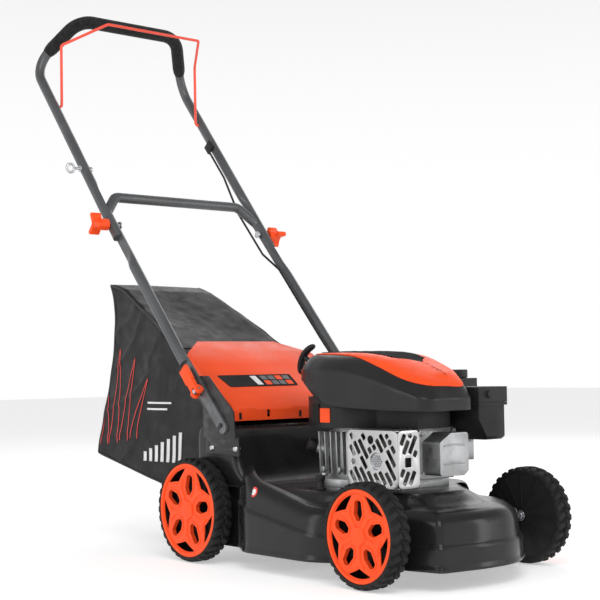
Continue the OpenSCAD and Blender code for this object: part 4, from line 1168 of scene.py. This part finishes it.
def make_stickers():
    """Plain stand-ins for the printed panels: coloured areas with no lettering; and dark patches of painted
    shade for the flap's slots.
    """
    plate = [(-128, 472, 332.5), (46, 472, 332.5), (46, 502, 355.5), (-140, 502, 355.5)]
    patch("flap_panel", plate, "dark", "rear_flap")
    patch("flap_panel_bar", part_of(plate, 0.42, 0.50, 0.12, 0.88), "white", "rear_flap", 1.0)
    for k in range(4):
        for j in range(2):
            u, v = 0.55 + 0.105 * k, 0.12 + 0.42 * j
            patch("flap_panel_block_%d%d" % (k, j), part_of(plate, u, u + 0.085, v, v + 0.34),
                  "orange" if (k + j) % 3 == 0 else "graphite", "rear_flap", 1.0)
    patch("housing_panel", [(-109, 243, 266), (-112.9, 222, 266), (-112.9, 222, 302), (-109, 243, 302)],
          "dark", "blower_housing")
    patch("housing_square", [(-113.0, 219, 268), (-111.2, 194, 268), (-111.2, 194, 294), (-113.0, 219, 294)],
          "orange", "blower_housing")
    # dark patches on the flap's lower lip: painted shade standing in for its slots
    for x in (-150, 0, 150):
        patch("flap_slot_painted_shade_%d" % (x + 150),
              [(x + 3, 411.6, 271), (x - 3, 411.6, 271), (x - 3, 411.6, 284), (x + 3, 411.6, 284)],
              "dark", "rear_flap", 0.2, 0.2)
    for name, r, finish, lift in (("deck_disc", 9.0, "red", 0), ("deck_disc_middle", 5.6, "white", 0.5)):
        bm = flat_shape(name, circle(r, 40, 301, 143), [], 0, 0.8, 0.2,
                        lambda u, v, z, lift=lift: P(-208.0 - z - lift + (v - 134) * 0.36, u, v))
        add(name, bm, finish, "deck", slot_of="deck_shell", smooth=30)


def make_starter():
    """Starter grip: a bowed crossbar on a stem, with the end of the rope leaving the cover's eyelet."""
    mid = sum(mm_box("starter_grip")) / 2
    eyelet = np.array((-21, 334, 369.0))
    way = unit(mid - eyelet)
    bar = unit(np.cross(np.cross(way, (0, -0.585, 0.811)), way))
    flat = unit(np.cross(way, bar))
    rows = []
    for k in range(25):
        t = -1 + k / 12
        full = math.sqrt(max(0.03, 1 - abs(t) ** 7))
        c = mid - way * (2 + 13 * t * t) + bar * 35 * t
        over = unit(np.cross(flat, unit(bar - way * 0.75 * t)))
        rows.append([c + (over * 6.4 * math.cos(q) + flat * 9.0 * math.sin(q)) * full
                     for q in np.linspace(0, 2 * math.pi, 20, endpoint=False)])
    bm = loop_skin(rows)
    for e in (rows[0], rows[-1]):
        edge = [g for g in bm.edges if g.is_boundary and (g.verts[0].co - P(*e[0])).length < 0.02]
        bmesh.ops.contextual_create(bm, geom=edge)
    bmesh.ops.recalc_face_normals(bm, faces=bm.faces)
    neck = tube([mid - way * d for d in (1, 8, 16, 24)], 5.4, 18)
    add("starter_handle", join_bm([bm, neck]), "black", "starter_grip", "starter_grip", smooth=50)
    rope = tube([eyelet + way * d for d in (-30, -15, 0, 12, 24)], 2.2, 12)
    add("rope_end", rope, "rope", "starter_grip", slot_of="starter_grip", smooth=60)


def make_engine_details():
    """Bolts and flanges on the castings, seen in the photograph but left out of the CAD model."""
    flange = soft_ring([(-50, 168), (50, 168), (50, 258), (-50, 258)], 11, 6)
    parts = [flat_shape("flange", flange, [], 0, 4.5, 0.8, lambda u, v, z: P(u, 40.5 - z, v))]
    for x, z in ((-43, 175), (43, 175), (-43, 251), (43, 251)):
        parts.append(flat_shape("bolt", circle(5.2, 6, x, z), [], 0, 8, 0.6, lambda u, v, w: P(u, 38 - w, v)))
    for z in (196, 228):
        parts.append(tube([(-26, -10.2, z), (0, -10.6, z + 2), (26, -10.2, z)], 1.6, 8))
    add("valve_flange", join_bm(parts), "alloy", "deck", slot_of="valve_cover")
    x0 = mm_box("crankcase")[0][0]
    parts = []
    for y in range(156, 256, 16):
        rib = soft_ring([(0, 172), (7, 172), (10, 250), (0, 250)], 1.2, 2)
        parts.append(flat_shape("rib", rib, [], 0, 3.4, 0.5, lambda u, v, w, y=y: P(x0 + 12 - u, y + w, v)))
    for y in (150, 194, 238):
        parts.append(flat_shape("bolt", circle(5.6, 6, y, 181), [], 0, 9, 0.6,
                                lambda u, v, w: P(x0 + 6 - w, u, v)))
    add("crankcase_ribs", join_bm(parts), "alloy", "deck", slot_of="crankcase")


# ---------------------------------------------------------------- build
make_camera()
make_stage()
for node, o in frame["nodes"].items():
    o.data.materials.clear()
    o.data.materials.append(M[FINISH_OF[node]])
for corner in CORNERS:
    tread_wheel("tyre_" + corner)
for corner in CORNERS:
    wheel_cover("cover_" + corner, -1 if "right" in corner else 1, 0 if "front" in corner else 8)
make_cover()
make_deck()
make_chute()
make_guard()
make_handle()
make_bag()
make_stickers()
make_starter()
make_engine_details()

# nodes that the functions above have made again
REMADE = set("lower_handle upper_handle foam_grip bail control_cable grass_bag engine_shroud shroud_insert "
             "intake_grille deck_shell muffler_guard starter_grip".split())
REMADE |= {kind + corner for kind in ("tyre_", "cover_") for corner in CORNERS}
# edge radius in mm of the other nodes
BEVEL = dict(rear_flap=1.0, fuel_tank=6.0, air_filter_cover=3.5, air_filter_box=2.5, crankcase=1.0,
             valve_cover=2.0, fuel_cap=2.0, sump=1.2, cylinder_head=0.8, wing_knob_right=2.0,
             wing_knob_left=2.0, cam_lever_right=1.5, cam_lever_left=1.5)
FINE_BEVEL = 0.6
for node in frame["nodes"]:
    if node not in REMADE:
        refine(node, BEVEL.get(node, FINE_BEVEL))
